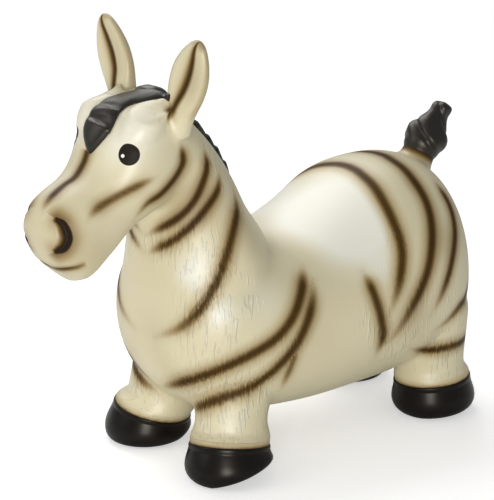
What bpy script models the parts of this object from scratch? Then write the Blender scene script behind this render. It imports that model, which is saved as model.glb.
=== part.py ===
# Bouncy ride-on zebra: an air-filled soft PVC skin that a child sits on and bounces.
# Ears and tail bend at soft roots, and an air plug pulls out of a seat in the belly.
# The feature that takes the most skill is the moulded skin: barrel, neck, head and legs are lofted
# from side-view stations, blended into one flowing form, and parted where form or colour changes.
# The animal faces -Y, its left side is +X, and it stands on z = 0.

from math import cos, pi, radians, sin

import bmesh
import bpy
from mathutils import Matrix, Vector

MM = 0.001

# Barrel of the body, from the breast to the rump
BARREL_LENGTH = 429 * MM
BARREL_WIDTH = 254 * MM
BARREL_HEIGHT = 255 * MM
BELLY_CLEARANCE = 44 * MM
BREAST_REACH = 0.4965 * BARREL_LENGTH  # breast ahead of the middle of the four hooves

# Neck and head
NECK_LENGTH = 202 * MM
NECK_WIDTH = 184 * MM
NECK_DEPTH = 164 * MM
NECK_ROOT_INSET = 0.205 * BARREL_LENGTH  # neck root behind the breast
NECK_ROOT_HEIGHT = 0.5333 * BARREL_HEIGHT  # above the belly
NECK_LEAN = radians(20.2)
HEAD_LENGTH = 218 * MM
HEAD_WIDTH = 120 * MM
HEAD_DEPTH = 120 * MM
HEAD_DROP = radians(44)  # below level
POLL_FORWARD = 13 * MM  # back of the skull from the top of the neck
POLL_RISE = 50 * MM
NOSTRIL_LENGTH = 28 * MM
NOSTRIL_WIDTH = 15 * MM
NOSTRIL_DEPTH = 9 * MM
BROW_PLACE = 0.231 * HEAD_LENGTH  # ridge over each eye, from the back of the skull
BROW_SPREAD = 37 * MM
BROW_RISE = 30 * MM
BROW_LENGTH = 68 * MM
BROW_WIDTH = 48 * MM
BROW_HEIGHT = 40 * MM

# Legs and hooves, placed under the barrel
LEG_TOP_HEIGHT = BELLY_CLEARANCE + 0.4 * BARREL_HEIGHT
LEG_TOP_RADIUS = 53 * MM
LEG_ANKLE_RADIUS = 40 * MM
HOOF_RADIUS = 44 * MM
HOOF_HEIGHT = 46 * MM
HOOF_RIM = 0.7 * MM  # ridge round the top of the hoof
HOOF_STRETCH_SHARE = 1.03  # length to width
HOOF_LEAN_SHARE = 0.75  # how far the hoof's top leans with the leg
SOLE_ROUND = 5.5 * MM
SOLE_PAD_RADIUS = 18 * MM  # flat middle of the sole that it stands on
FRONT_HEEL_RISE = 17 * MM
REAR_HEEL_RISE = 5 * MM
HEEL_START_SHARE = -0.2  # of the hoof's radius, behind its middle
HEEL_OUT_SHARE = 0.64  # how far the raised side is turned outward
HEEL_FADE_SHARE = 0.85  # of the hoof's height
HEEL_FADE_POWER = 1.5
FRONT_STANCE = 0.2992 * BARREL_WIDTH
FRONT_HOOF_AHEAD = 0.366 * BARREL_LENGTH
FRONT_LEG_IN = 0.134 * BARREL_WIDTH  # the leg's top inward of its hoof
FRONT_LEG_BACK = 0.0886 * BARREL_LENGTH
REAR_STANCE = 0.2992 * BARREL_WIDTH
REAR_HOOF_BEHIND = 0.3613 * BARREL_LENGTH
REAR_LEG_IN = 0.047 * BARREL_WIDTH
REAR_LEG_BACK = -0.0240 * BARREL_LENGTH
HAUNCH_INSIDE = 0.0866 * BARREL_WIDTH  # the parting of leg and barrel, from the middle
HAUNCH_OUTSIDE = 0.4646 * BARREL_WIDTH
HAUNCH_LOW = -0.0157 * BARREL_HEIGHT  # against the belly
HAUNCH_HIGH = 0.4157 * BARREL_HEIGHT

# Ears
EAR_LENGTH = 111 * MM
EAR_WIDTH = 56 * MM
EAR_DEPTH = 30 * MM
EAR_SPREAD = 45.5 * MM  # root from the middle
EAR_PLACE = 26 * MM  # along the head from the back of the skull
EAR_SINK = 10 * MM
EAR_LEAN = radians(20)
EAR_BACK_LEAN = radians(-2.5)
EAR_TURN = radians(1)  # the cup faces forwards and outwards
EAR_HOLLOW_SHARE = 1.15  # of half the ear's depth
EAR_PIVOT = 34 * MM  # up the ear, in the soft root that bends
EAR_PARTING = 44 * MM

# Mane, forelock and tail
MANE_WIDTH = 22 * MM
MANE_HEIGHT = 7 * MM
MANE_SUNK = 14 * MM  # below the crest line, before the skin cuts it
FORELOCK_WIDTH = 54 * MM
FORELOCK_HEIGHT = 8 * MM
FORELOCK_SWAY = 9 * MM
FORELOCK_PARTING_SHARE = 0.077
LOCK_COUNT = 6
LOCK_SHARE = 0.07  # how far the locks stand out of the hair
LOCK_TWIST = 2 * pi  # turn of the locks' pattern along the hair
TAIL_LENGTH = 105 * MM
TAIL_RADIUS = 23 * MM
TAIL_CURL = 4 * MM  # backwards at the tip
TAIL_CURL_START_SHARE = 0.55
TAIL_LEAN = radians(34)
TAIL_ROOT_INSET = 0.1026 * BARREL_LENGTH  # ahead of the end of the rump
TAIL_ROOT_HEIGHT = 0.8392 * BARREL_HEIGHT  # above the belly
TAIL_PIVOT = 34 * MM  # up the tail, in the soft dock that bends
TAIL_PARTING = 43 * MM

# Air valve in the belly
VALVE_SEAT_RADIUS = 13 * MM
VALVE_SEAT_HEIGHT = 15 * MM
VALVE_LIP = 1.2 * MM
PLUG_HEAD_RADIUS = 8.5 * MM
PLUG_HEAD_HEIGHT = 3 * MM
PLUG_SHAFT_RADIUS = 4.2 * MM
PLUG_SHAFT_LENGTH = 24 * MM
PLUG_TIP_LENGTH = 4 * MM
PLUG_TIP_RADIUS = 2.1 * MM
PLUG_RIB = 0.5 * MM
PLUG_RIB_PITCH = 6 * MM
PLUG_CLEARANCE = 0.35 * MM
VALVE_BEHIND = 0.0513 * BARREL_LENGTH

# Partings of the skin, and the gap between pieces that touch
GAP = 0.3 * MM
CHEST_PARTING = 0.105 * BARREL_LENGTH  # ahead of the middle of the hooves
RUMP_PARTING = 0.198 * BARREL_LENGTH
NECK_PARTING_HEIGHT = 0.808 * BARREL_HEIGHT  # above the belly, at the chest's parting
NECK_PARTING_SLOPE = radians(20)
HEAD_PARTING_TILT = radians(24)
HEAD_PARTING_BACK = 38 * MM  # behind the top of the neck
HEAD_PARTING_RISE = 27 * MM
MUZZLE_PARTING_SHARE = 0.56
MUZZLE_PARTING_DROP = radians(26)

# Mesh
VOXEL = 5 * MM
SMOOTHING_COUNT = 6
TRIANGLE_COUNT = 5200
CUT_OVERRUN = 20 * MM
CUT_TOLERANCE = 0.0001 * MM
SLIVER = 0.01 * MM
SMOOTH_ANGLE = radians(35)
RING_POINTS = 40
BARREL_ROW_COUNT = 36
NECK_ROW_COUNT = 16
HEAD_ROW_COUNT = 28
BROW_ROW_COUNT = 10
LEG_ROW_COUNT = 12
HOOF_POINTS = 26
SOLE_STEP_COUNT = 3
EAR_POINTS = 22
EAR_ROW_COUNT = 13
HAIR_POINTS = 24
HAIR_ROW_COUNT = 27
TAIL_ROW_COUNT = 18
NOSTRIL_POINTS = 16
NOSTRIL_ROW_COUNT = 8
VALVE_POINTS = 20
FINE_ROW_COUNT = 101

# Squareness of an oval: 2 is round, and more is fuller at its corners
ROUND = 2
NECK_SQUARENESS = 2.2
CREST_SQUARENESS = 1.75

# Colours and shine of the PVC
CREAM = (0.70, 0.64, 0.46)
BLACK = (0.012, 0.010, 0.010)
MILKY = (0.72, 0.72, 0.68)
CREAM_ROUGHNESS = 0.38
BLACK_ROUGHNESS = 0.32
BLACK_PIECES = ("hoof", "mane_crest", "forelock", "tail_tuft")

# Side view and plan of the barrel: place along it, top line, widest line and belly line as shares
# of the barrel's height, half width as a share of half the barrel's width, and squareness
BARREL_SHARES = [
    (0.000, 0.514, 0.478, 0.443, 0.07, 2.0),
    (0.009, 0.678, 0.482, 0.310, 0.36, 2.0),
    (0.056, 0.812, 0.482, 0.169, 0.66, 2.1),
    (0.135, 0.843, 0.470, 0.078, 0.82, 2.2),
    (0.263, 0.795, 0.447, 0.027, 0.92, 2.2),
    (0.420, 0.770, 0.427, 0.000, 0.97, 2.15),
    (0.573, 0.875, 0.427, 0.000, 0.99, 2.1),
    (0.683, 0.978, 0.439, 0.016, 1.00, 2.2),
    (0.788, 1.000, 0.455, 0.043, 0.975, 2.2),
    (0.881, 0.978, 0.463, 0.071, 0.88, 2.2),
    (0.944, 0.890, 0.459, 0.129, 0.71, 2.1),
    (0.986, 0.715, 0.455, 0.251, 0.425, 2.0),
    (1.000, 0.486, 0.451, 0.416, 0.07, 2.0),
]
# Place along the neck, bow towards the throat, half width, crest and throat depth, and tilt
NECK_SHARES = [
    (0.000, 0.000, 0.98, 1.05, 0.91, 75),
    (0.234, -0.023, 1.00, 0.945, 1.02, 65),
    (0.436, -0.045, 0.87, 0.77, 0.90, 62),
    (0.612, -0.052, 0.76, 0.72, 0.78, 55),
    (0.812, -0.052, 0.685, 0.60, 0.70, 48),
    (1.000, 0.000, 0.59, 0.55, 0.61, 35),
]
# Place along the head, half width, brow height and jaw depth, and squareness
HEAD_SHARES = [
    (0.000, 0.13, 0.07, 0.07, 2.0),
    (0.022, 0.50, 0.19, 0.25, 2.0),
    (0.109, 0.83, 0.270, 0.46, 2.2),
    (0.247, 0.97, 0.40, 0.55, 2.4),
    (0.378, 1.00, 0.365, 0.57, 2.4),
    (0.508, 0.91, 0.280, 0.49, 2.2),
    (0.619, 0.81, 0.300, 0.43, 2.2),
    (0.735, 0.80, 0.385, 0.43, 2.2),
    (0.820, 0.81, 0.405, 0.42, 2.2),
    (0.900, 0.76, 0.350, 0.42, 2.3),
    (0.955, 0.64, 0.23, 0.40, 2.3),
    (1.000, 0.38, 0.04, 0.32, 2.2),
]
# Place down the leg from its top, and radius between the ankle's and the top's
LEG_SHARES = [
    (0.00, 0.00),
    (0.08, 0.85),
    (0.26, 0.62),
    (0.46, 0.20),
    (0.57, 0.00),
    (0.63, 0.08),
    (0.685, 0.33),
    (0.80, 0.40),
]
# Place up the hoof, and how far its wall stands out as a share of the ridge
HOOF_SHARES = [
    (0.32, 4.0),
    (0.60, 2.6),
    (0.855, -0.1),
    (0.88, -1.1),
    (0.91, 0.5),
    (0.96, 1.0),
    (0.99, 0.4),
    (1.00, -2.0),
]
# Place up the ear, half width, half depth and how far the cup is hollowed
EAR_SHARES = [
    (0.00, 0.62, 0.90, 0.0),
    (0.12, 0.68, 0.90, 0.0),
    (0.28, 0.84, 0.88, 0.2),
    (0.46, 1.00, 0.90, 0.7),
    (0.64, 0.99, 0.84, 0.8),
    (0.80, 0.80, 0.66, 0.6),
    (0.92, 0.53, 0.44, 0.2),
    (0.98, 0.29, 0.26, 0.0),
    (1.00, 0.05, 0.06, 0.0),
]
# Place up the neck's crest, width and height of the mane
MANE_SHARES = [
    (0.24, 0.30, 0.55),
    (0.30, 0.70, 0.60),
    (0.45, 0.95, 0.80),
    (0.62, 1.00, 1.00),
    (0.82, 1.00, 1.00),
    (1.00, 1.15, 0.60),
]
# Place along the head's brow line, width, height and sideways sway of the forelock
FORELOCK_SHARES = [
    (0.03, 0.50, 0.55, 0.0),
    (0.12, 0.78, 0.75, 0.0),
    (0.22, 1.00, 0.95, -0.4),
    (0.33, 0.92, 1.00, -1.0),
    (0.43, 0.62, 0.85, -0.6),
    (0.50, 0.32, 0.65, 0.4),
    (0.53, 0.12, 0.50, 0.8),
]
# Place up the tail and radius: a dock, a bulb of hair and a knob
TAIL_SHARES = [
    (0.00, 1.15),
    (0.20, 1.00),
    (0.32, 0.86),
    (0.43, 0.93),
    (0.51, 1.04),
    (0.60, 0.99),
    (0.69, 0.82),
    (0.77, 0.64),
    (0.85, 0.53),
    (0.93, 0.54),
    (0.975, 0.43),
    (1.00, 0.12),
]
# Place of the nostrils along the head, out from its middle and down from its brow line
NOSTRIL_PLACE_SHARE = 0.84
NOSTRIL_SPREAD_SHARE = 0.66
NOSTRIL_RISE_SHARE = 0.09

X_AXIS = Vector((1, 0, 0))
Y_AXIS = Vector((0, 1, 0))
Z_AXIS = Vector((0, 0, 1))
SIDES = (("left", 1), ("right", -1))
ENDS = (("front", True), ("rear", False))


def clear_scene():
    for thing in list(bpy.data.objects):
        bpy.data.objects.remove(thing)


def pvc(name):
    """The piece's own material: black on hooves and hair, milky on the valve, else cream."""
    black = name.endswith(BLACK_PIECES)
    colour = BLACK if black else MILKY if name.startswith("valve") else CREAM
    made = bpy.data.materials.new(name)
    made.use_nodes = True
    shader = made.node_tree.nodes["Principled BSDF"]
    shader.inputs["Base Color"].default_value = (*colour, 1)
    shader.inputs["Roughness"].default_value = BLACK_ROUGHNESS if black else CREAM_ROUGHNESS
    shader.inputs["Metallic"].default_value = 0
    return made


def new_object(name, mesh_data):
    mesh = bpy.data.meshes.new(name)
    bmesh.ops.recalc_face_normals(mesh_data, faces=mesh_data.faces)
    mesh_data.to_mesh(mesh)
    mesh_data.free()
    made = bpy.data.objects.new(name, mesh)
    bpy.context.scene.collection.objects.link(made)
    return made


def smooth_rows(rows, count):
    """Reads count rows off a smooth curve through the given ones."""
    spans = len(rows) - 1
    found = []
    for step in range(count):
        place = step * spans / (count - 1)
        at = min(int(place), spans - 1)
        part = place - at
        four = [rows[max(at - 1, 0)], rows[at], rows[at + 1], rows[min(at + 2, spans)]]
        row = []
        for a, b, c, d in zip(*four):
            linear = c - a
            square = 2 * a - 5 * b + 4 * c - d
            cube = 3 * b - a - 3 * c + d
            row.append(b + (linear * part + square * part**2 + cube * part**3) / 2)
        found.append(row)
    return found


def row_at(rows, share):
    """The row of a table at a share of the way along, read off the smooth curve."""
    fine = smooth_rows(rows, FINE_ROW_COUNT)
    for lower, upper in zip(fine, fine[1:]):
        if share <= upper[0]:
            part = (share - lower[0]) / (upper[0] - lower[0])
            return [a + (b - a) * part for a, b in zip(lower, upper)]
    return fine[-1]


def oval(centre, across, upward, half_width, up, down, squareness=ROUND, points=RING_POINTS, top=None):
    """One ring of a loft: an oval whose upper half has its own height, and with top its own squareness."""
    ring = []
    for step in range(points):
        turn = 2 * pi * step / points
        along, rise = cos(turn), sin(turn)
        power = ROUND / (top if top and rise > 0 else squareness)
        sideways = abs(along) ** power * (half_width if along > 0 else -half_width)
        height = abs(rise) ** power * (up if rise > 0 else -down)
        ring.append(centre + across * sideways + upward * height)
    return ring


def loft(name, rings):
    """A closed solid through the rings, with a flat fan at each end."""
    mesh_data = bmesh.new()
    rows = [[mesh_data.verts.new(point) for point in ring] for ring in rings]
    for lower, upper in zip(rows, rows[1:]):
        for at in range(len(lower)):
            after = (at + 1) % len(lower)
            mesh_data.faces.new((lower[at], lower[after], upper[after], upper[at]))
    for row in (rows[0], rows[-1]):
        middle = mesh_data.verts.new(sum((v.co for v in row), Vector()) / len(row))
        for at in range(len(row)):
            mesh_data.faces.new((row[at], row[(at + 1) % len(row)], middle))
    return new_object(name, mesh_data)


def barrel_rings():
    rings = []
    for along, top, wide, low, width, square in smooth_rows(BARREL_SHARES, BARREL_ROW_COUNT):
        level = BELLY_CLEARANCE + wide * BARREL_HEIGHT
        centre = Vector((0, along * BARREL_LENGTH - BREAST_REACH, level))
        half = width * BARREL_WIDTH / 2
        up, down = (top - wide) * BARREL_HEIGHT, (wide - low) * BARREL_HEIGHT
        rings.append(oval(centre, X_AXIS, Z_AXIS, half, up, down, square))
    return rings


def neck_station(along, bow, width, crest, throat, tilt):
    """Centre, crest direction, half width, crest and throat depth at one place on the neck."""
    root = Vector((0, NECK_ROOT_INSET - BREAST_REACH, BELLY_CLEARANCE + NECK_ROOT_HEIGHT))
    rise = Vector((0, -sin(NECK_LEAN), cos(NECK_LEAN)))
    forward = Vector((0, -cos(NECK_LEAN), -sin(NECK_LEAN)))
    centre = root + (rise * along + forward * bow) * NECK_LENGTH
    crestward = Vector((0, sin(radians(tilt)), cos(radians(tilt))))
    half, deep = width * NECK_WIDTH / 2, NECK_DEPTH / 2
    return centre, crestward, half, crest * deep, throat * deep


def neck_rings():
    rings = []
    for row in smooth_rows(NECK_SHARES, NECK_ROW_COUNT):
        centre, crestward, half, crest, throat = neck_station(*row)
        ring = oval(centre, X_AXIS, crestward, half, crest, throat, NECK_SQUARENESS, top=CREST_SQUARENESS)
        rings.append(ring)
    return rings


def head_frame():
    """Back of the skull, direction to the nose and direction to the brow."""
    top = neck_station(*NECK_SHARES[-1])[0]
    poll = top + Vector((0, POLL_FORWARD, POLL_RISE))
    noseward = Vector((0, -cos(HEAD_DROP), -sin(HEAD_DROP)))
    browward = Vector((0, -sin(HEAD_DROP), cos(HEAD_DROP)))
    return poll, noseward, browward


def head_rings():
    poll, noseward, browward = head_frame()
    rings = []
    for along, width, brow, jaw, square in smooth_rows(HEAD_SHARES, HEAD_ROW_COUNT):
        centre = poll + noseward * along * HEAD_LENGTH
        half, up, down = width * HEAD_WIDTH / 2, brow * HEAD_DEPTH, jaw * HEAD_DEPTH
        rings.append(oval(centre, X_AXIS, browward, half, up, down, square))
    return rings


def brow_rings(side):
    """The ridge over an eye."""
    poll, noseward, browward = head_frame()
    middle = poll + noseward * BROW_PLACE + browward * BROW_RISE + X_AXIS * side * BROW_SPREAD
    rings = []
    for step in range(1, BROW_ROW_COUNT):
        turn = pi * step / BROW_ROW_COUNT
        centre = middle - noseward * cos(turn) * BROW_LENGTH / 2
        half, high = sin(turn) * BROW_WIDTH / 2, sin(turn) * BROW_HEIGHT / 2
        rings.append(oval(centre, X_AXIS, browward, half, high, high))
    return rings


def leg_line(side, front):
    """Middle of the sole and top of the leg."""
    if front:
        foot = Vector((side * FRONT_STANCE, -FRONT_HOOF_AHEAD, 0))
        shift = Vector((-side * FRONT_LEG_IN, FRONT_LEG_BACK, LEG_TOP_HEIGHT))
    else:
        foot = Vector((side * REAR_STANCE, REAR_HOOF_BEHIND, 0))
        shift = Vector((-side * REAR_LEG_IN, REAR_LEG_BACK, LEG_TOP_HEIGHT))
    return foot, foot + shift


def leg_rings(side, front):
    foot, top = leg_line(side, front)
    rings = []
    for down, share in smooth_rows(LEG_SHARES, LEG_ROW_COUNT):
        radius = LEG_ANKLE_RADIUS + share * (LEG_TOP_RADIUS - LEG_ANKLE_RADIUS)
        centre = top.lerp(foot, down)
        rings.append(oval(centre, X_AXIS, Y_AXIS, radius, radius, radius))
    return rings


def rim_normal(side, front):
    """The way the top of the hoof faces, which is near to along the leg."""
    foot, top = leg_line(side, front)
    return Z_AXIS.lerp((top - foot).normalized(), HOOF_LEAN_SHARE).normalized()


def hoof(name, side, front):
    """A flat sole with a rounded edge, a bulging wall and a ridge, leaning with the leg."""
    foot, _ = leg_line(side, front)
    axis = rim_normal(side, front)
    rim = foot + axis * HOOF_HEIGHT
    heel = Vector((side * HEEL_OUT_SHARE, (1 - HEEL_OUT_SHARE**2) ** 0.5, 0))
    heel_rise = FRONT_HEEL_RISE if front else REAR_HEEL_RISE
    profile = []
    for step in range(SOLE_STEP_COUNT + 1):
        turn = pi / 2 * step / SOLE_STEP_COUNT
        profile.append((SOLE_ROUND * (1 - cos(turn)), SOLE_ROUND * (sin(turn) - 1)))
    profile += [(up * HOOF_HEIGHT, out * HOOF_RIM) for up, out in HOOF_SHARES]
    pad = SOLE_PAD_RADIUS
    rings = [oval(foot, X_AXIS, Y_AXIS, pad, pad, pad, points=HOOF_POINTS)]
    for height, beyond in profile:
        share = height / HOOF_HEIGHT
        normal = Z_AXIS.lerp(axis, share).normalized()
        across = (X_AXIS - normal * X_AXIS.dot(normal)).normalized()
        along = normal.cross(across)
        wide = HOOF_RADIUS + beyond
        long = wide * HOOF_STRETCH_SHARE
        middle = foot.lerp(rim, share)
        ring = oval(middle, across, along, wide, long, long, points=HOOF_POINTS)
        fade = max(1 - share / HEEL_FADE_SHARE, 0) ** HEEL_FADE_POWER
        for point in ring:
            back = (point - foot).dot(heel) / HOOF_RADIUS
            point.z += heel_rise * fade * max(back - HEEL_START_SHARE, 0) / (1 - HEEL_START_SHARE)
        rings.append(ring)
    return loft(name, rings)


def evaluated_copy(name, source):
    """A plain mesh object from another one with its modifiers applied."""
    graph = bpy.context.evaluated_depsgraph_get()
    mesh = bpy.data.meshes.new_from_object(source.evaluated_get(graph))
    mesh.name = name
    made = bpy.data.objects.new(name, mesh)
    bpy.context.scene.collection.objects.link(made)
    return made


def blended_skin():
    """The lofts of barrel, neck, head and legs, melted into one smooth form."""
    lofts = [loft("barrel", barrel_rings()), loft("neck", neck_rings()), loft("head", head_rings())]
    lofts += [loft("leg", leg_rings(side, front)) for _, side in SIDES for _, front in ENDS]
    lofts += [loft("brow", brow_rings(side)) for _, side in SIDES]
    mesh_data = bmesh.new()
    for made in lofts:
        mesh_data.from_mesh(made.data)
        bpy.data.objects.remove(made)
    rough = new_object("rough_skin", mesh_data)
    remesh = rough.modifiers.new("melt", "REMESH")
    remesh.mode = "VOXEL"
    remesh.voxel_size = VOXEL
    smooth = rough.modifiers.new("smooth", "SMOOTH")
    smooth.iterations = SMOOTHING_COUNT
    fine = evaluated_copy("fine_skin", rough)
    thin = fine.modifiers.new("thin", "DECIMATE")
    triangles = sum(len(face.vertices) - 2 for face in fine.data.polygons)
    thin.ratio = TRIANGLE_COUNT / triangles
    skin = evaluated_copy("skin", fine)
    bpy.data.objects.remove(rough)
    bpy.data.objects.remove(fine)
    hide_cutter(skin)
    return skin


def clearance_of(skin):
    """The skin swollen by the gap, which cuts what sits on it."""
    cutter = skin.copy()
    cutter.data = skin.data.copy()
    cutter.name = "skin_clearance"
    normals = [vertex.normal.copy() for vertex in cutter.data.vertices]
    for vertex, normal in zip(cutter.data.vertices, normals):
        vertex.co += normal * GAP
    bpy.context.scene.collection.objects.link(cutter)
    return cutter


def section(name, source, partings):
    """What is left of a solid inside every parting plane, given as a point and an outward normal."""
    mesh_data = bmesh.new()
    mesh_data.from_mesh(source.data)
    for point, normal in partings:
        everything = mesh_data.verts[:] + mesh_data.edges[:] + mesh_data.faces[:]
        inside = point - normal.normalized() * GAP / 2
        cut = bmesh.ops.bisect_plane(
            mesh_data,
            geom=everything,
            dist=CUT_TOLERANCE,
            plane_co=inside,
            plane_no=normal,
            clear_outer=True,
        )
        rim = [item for item in cut["geom_cut"] if isinstance(item, bmesh.types.BMEdge)]
        bmesh.ops.triangle_fill(mesh_data, use_beauty=True, edges=rim, normal=normal)
        bmesh.ops.dissolve_degenerate(mesh_data, dist=SLIVER, edges=mesh_data.edges)
    return new_object(name, mesh_data)


def subtract(target, cutter):
    cut = target.modifiers.new(cutter.name, "BOOLEAN")
    cut.operation = "DIFFERENCE"
    cut.solver = "EXACT"
    cut.object = cutter


def haunch(side):
    """The slanted plane that parts a leg from the barrel, facing down and outwards."""
    inner = Vector((side * HAUNCH_INSIDE, 0, BELLY_CLEARANCE + HAUNCH_LOW))
    outer = Vector((side * HAUNCH_OUTSIDE, 0, BELLY_CLEARANCE + HAUNCH_HIGH))
    along = (outer - inner).normalized()
    return inner, Vector((side * along.z, 0, -side * along.x))


def skin_sections(skin):
    chest = Vector((0, -CHEST_PARTING, 0))
    rump = Vector((0, RUMP_PARTING, 0))
    neck = chest + Z_AXIS * (BELLY_CLEARANCE + NECK_PARTING_HEIGHT)
    neckward = Vector((0, -sin(NECK_PARTING_SLOPE), cos(NECK_PARTING_SLOPE)))
    neck_top = neck_station(*NECK_SHARES[-1])[0]
    head = neck_top + Vector((0, HEAD_PARTING_BACK, HEAD_PARTING_RISE))
    headward = Vector((0, -cos(HEAD_PARTING_TILT), sin(HEAD_PARTING_TILT)))
    poll, noseward, _ = head_frame()
    muzzle = poll + noseward * MUZZLE_PARTING_SHARE * HEAD_LENGTH
    snoutward = Vector((0, -cos(MUZZLE_PARTING_DROP), -sin(MUZZLE_PARTING_DROP)))
    left, left_out = haunch(1)
    right, right_out = haunch(-1)
    partings = {
        "saddle_section": [(chest, -Y_AXIS), (rump, Y_AXIS)],
        "chest_section": [(chest, Y_AXIS), (neck, neckward), (left, left_out), (right, right_out)],
        "rump_section": [(rump, -Y_AXIS), (left, left_out), (right, right_out)],
        "neck_section": [(chest, Y_AXIS), (neck, -neckward), (head, headward)],
        "head_section": [(head, -headward), (muzzle, snoutward)],
        "muzzle_section": [(head, -headward), (muzzle, -snoutward)],
    }
    for end, front in ENDS:
        for hand, side in SIDES:
            point, out = haunch(side)
            foot, _ = leg_line(side, front)
            axis = rim_normal(side, front)
            ankle = foot + axis * (HOOF_HEIGHT + GAP / 2)
            barrel = (chest, Y_AXIS) if front else (rump, -Y_AXIS)
            partings[f"{end}_{hand}_leg"] = [barrel, (point, -out), (ankle, -axis)]
    return {name: section(name, skin, planes) for name, planes in partings.items()}


def place_on_pivot(piece, pivot):
    """Moves the piece's origin to its joint's axis without moving the piece."""
    piece.data.transform(Matrix.Translation(-pivot))
    piece.location = pivot


def ear_frame(side):
    """Root of the ear, direction to the tip, direction across the ear and direction of its cup."""
    poll, noseward, browward = head_frame()
    root = poll + noseward * EAR_PLACE - browward * EAR_SINK + X_AXIS * side * EAR_SPREAD
    tipward = Matrix.Rotation(side * EAR_LEAN, 3, "Y") @ Z_AXIS
    tipward = (tipward + Vector((0, sin(EAR_BACK_LEAN), 0))).normalized()
    across = (X_AXIS - tipward * X_AXIS.dot(tipward)).normalized()
    across = Matrix.Rotation(side * EAR_TURN, 3, tipward) @ across
    return root, tipward, across, across.cross(tipward)


def ear_loft(name, side):
    root, tipward, across, cupward = ear_frame(side)
    rings = []
    for up, width, depth, hollow in smooth_rows(EAR_SHARES, EAR_ROW_COUNT):
        half, thick = width * EAR_WIDTH / 2, depth * EAR_DEPTH / 2
        centre = root + tipward * up * EAR_LENGTH
        ring = []
        for step in range(EAR_POINTS):
            turn = 2 * pi * step / EAR_POINTS
            sideways, deep = cos(turn), sin(turn)
            if deep > 0:
                deep -= hollow * EAR_HOLLOW_SHARE * (1 - sideways**2)
            ring.append(centre + across * sideways * half + cupward * deep * thick)
        rings.append(ring)
    return loft(name, rings)


def ears(skin_cutter):
    made = {}
    for hand, side in SIDES:
        root, tipward, _, _ = ear_frame(side)
        whole = ear_loft("whole_ear", side)
        parting = root + tipward * EAR_PARTING
        soft_root = section(f"ear_root_{hand}", whole, [(parting, tipward)])
        subtract(soft_root, skin_cutter)
        blade = section(f"ear_{hand}", whole, [(parting, -tipward)])
        bpy.data.objects.remove(whole)
        place_on_pivot(blade, root + tipward * EAR_PIVOT)
        made[soft_root.name] = soft_root
        made[blade.name] = blade
    return made


def tail_frame():
    """Root of the tail, direction to the tip and direction square to it, towards the head."""
    back = BARREL_LENGTH - BREAST_REACH - TAIL_ROOT_INSET
    root = Vector((0, back, BELLY_CLEARANCE + TAIL_ROOT_HEIGHT))
    tipward = Vector((0, sin(TAIL_LEAN), cos(TAIL_LEAN)))
    return root, tipward, Vector((0, -cos(TAIL_LEAN), sin(TAIL_LEAN)))


def locked(ring, centre, share):
    """Draws a ring out into the locks of moulded hair, which swirl along it."""
    drawn = []
    for step, point in enumerate(ring):
        turn = 2 * pi * step / len(ring)
        wave = cos(LOCK_COUNT * turn + LOCK_TWIST * share)
        drawn.append(centre + (point - centre) * (1 + LOCK_SHARE * wave))
    return drawn


def tail(skin_cutter):
    root, tipward, forward = tail_frame()
    rings = []
    for up, width in smooth_rows(TAIL_SHARES, TAIL_ROW_COUNT):
        curl = (max(up - TAIL_CURL_START_SHARE, 0) / (1 - TAIL_CURL_START_SHARE)) ** 2
        centre = root + tipward * up * TAIL_LENGTH - forward * curl * TAIL_CURL
        radius = width * TAIL_RADIUS
        ring = oval(centre, X_AXIS, forward, radius, radius, radius, points=HAIR_POINTS)
        rings.append(locked(ring, centre, up) if up * TAIL_LENGTH > TAIL_PARTING else ring)
    whole = loft("whole_tail", rings)
    parting = root + tipward * TAIL_PARTING
    dock = section("tail_dock", whole, [(parting, tipward)])
    subtract(dock, skin_cutter)
    tuft = section("tail_tuft", whole, [(parting, -tipward)])
    bpy.data.objects.remove(whole)
    place_on_pivot(tuft, root + tipward * TAIL_PIVOT)
    return {"tail_dock": dock, "tail_tuft": tuft}


def hair(skin_cutter):
    """One ridge of moulded hair, up the crest, over the poll and down the brow."""
    poll, noseward, browward = head_frame()
    rows = []
    for along, width, height in MANE_SHARES:
        centre, crestward, _, crest, _ = neck_station(*row_at(NECK_SHARES, along))
        point = centre + crestward * crest
        rows.append((0, point.y, point.z, width * MANE_WIDTH / 2, height * MANE_HEIGHT))
    for along, width, height, sway in FORELOCK_SHARES:
        brow = row_at(HEAD_SHARES, along)[2] * HEAD_DEPTH
        point = poll + noseward * along * HEAD_LENGTH + browward * brow
        half = width * FORELOCK_WIDTH / 2
        rows.append((sway * FORELOCK_SWAY, point.y, point.z, half, height * FORELOCK_HEIGHT))
    rows = smooth_rows(rows, HAIR_ROW_COUNT)
    rings = []
    for at, (sway, y, z, half, high) in enumerate(rows):
        before, after = rows[max(at - 1, 0)], rows[min(at + 1, HAIR_ROW_COUNT - 1)]
        onward = Vector((0, after[1] - before[1], after[2] - before[2])).normalized()
        upward = onward.cross(X_AXIS)
        centre = Vector((sway, y, z))
        ring = oval(centre, X_AXIS, upward, half, high, MANE_SUNK, points=HAIR_POINTS)
        rings.append(locked(ring, centre, at / HAIR_ROW_COUNT))
    whole = loft("whole_hair", rings)
    parting = poll + noseward * FORELOCK_PARTING_SHARE * HEAD_LENGTH
    mane = section("mane_crest", whole, [(parting, -Y_AXIS)])
    forelock = section("forelock", whole, [(parting, Y_AXIS)])
    bpy.data.objects.remove(whole)
    subtract(mane, skin_cutter)
    subtract(forelock, skin_cutter)
    return {"mane_crest": mane, "forelock": forelock}


def turned_rings(centre, profile):
    """Rings about the upright line through centre, from radii and heights."""
    rings = []
    for radius, height in profile:
        middle = centre + Z_AXIS * height
        rings.append(oval(middle, X_AXIS, Y_AXIS, radius, radius, radius, points=VALVE_POINTS))
    return rings


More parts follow.
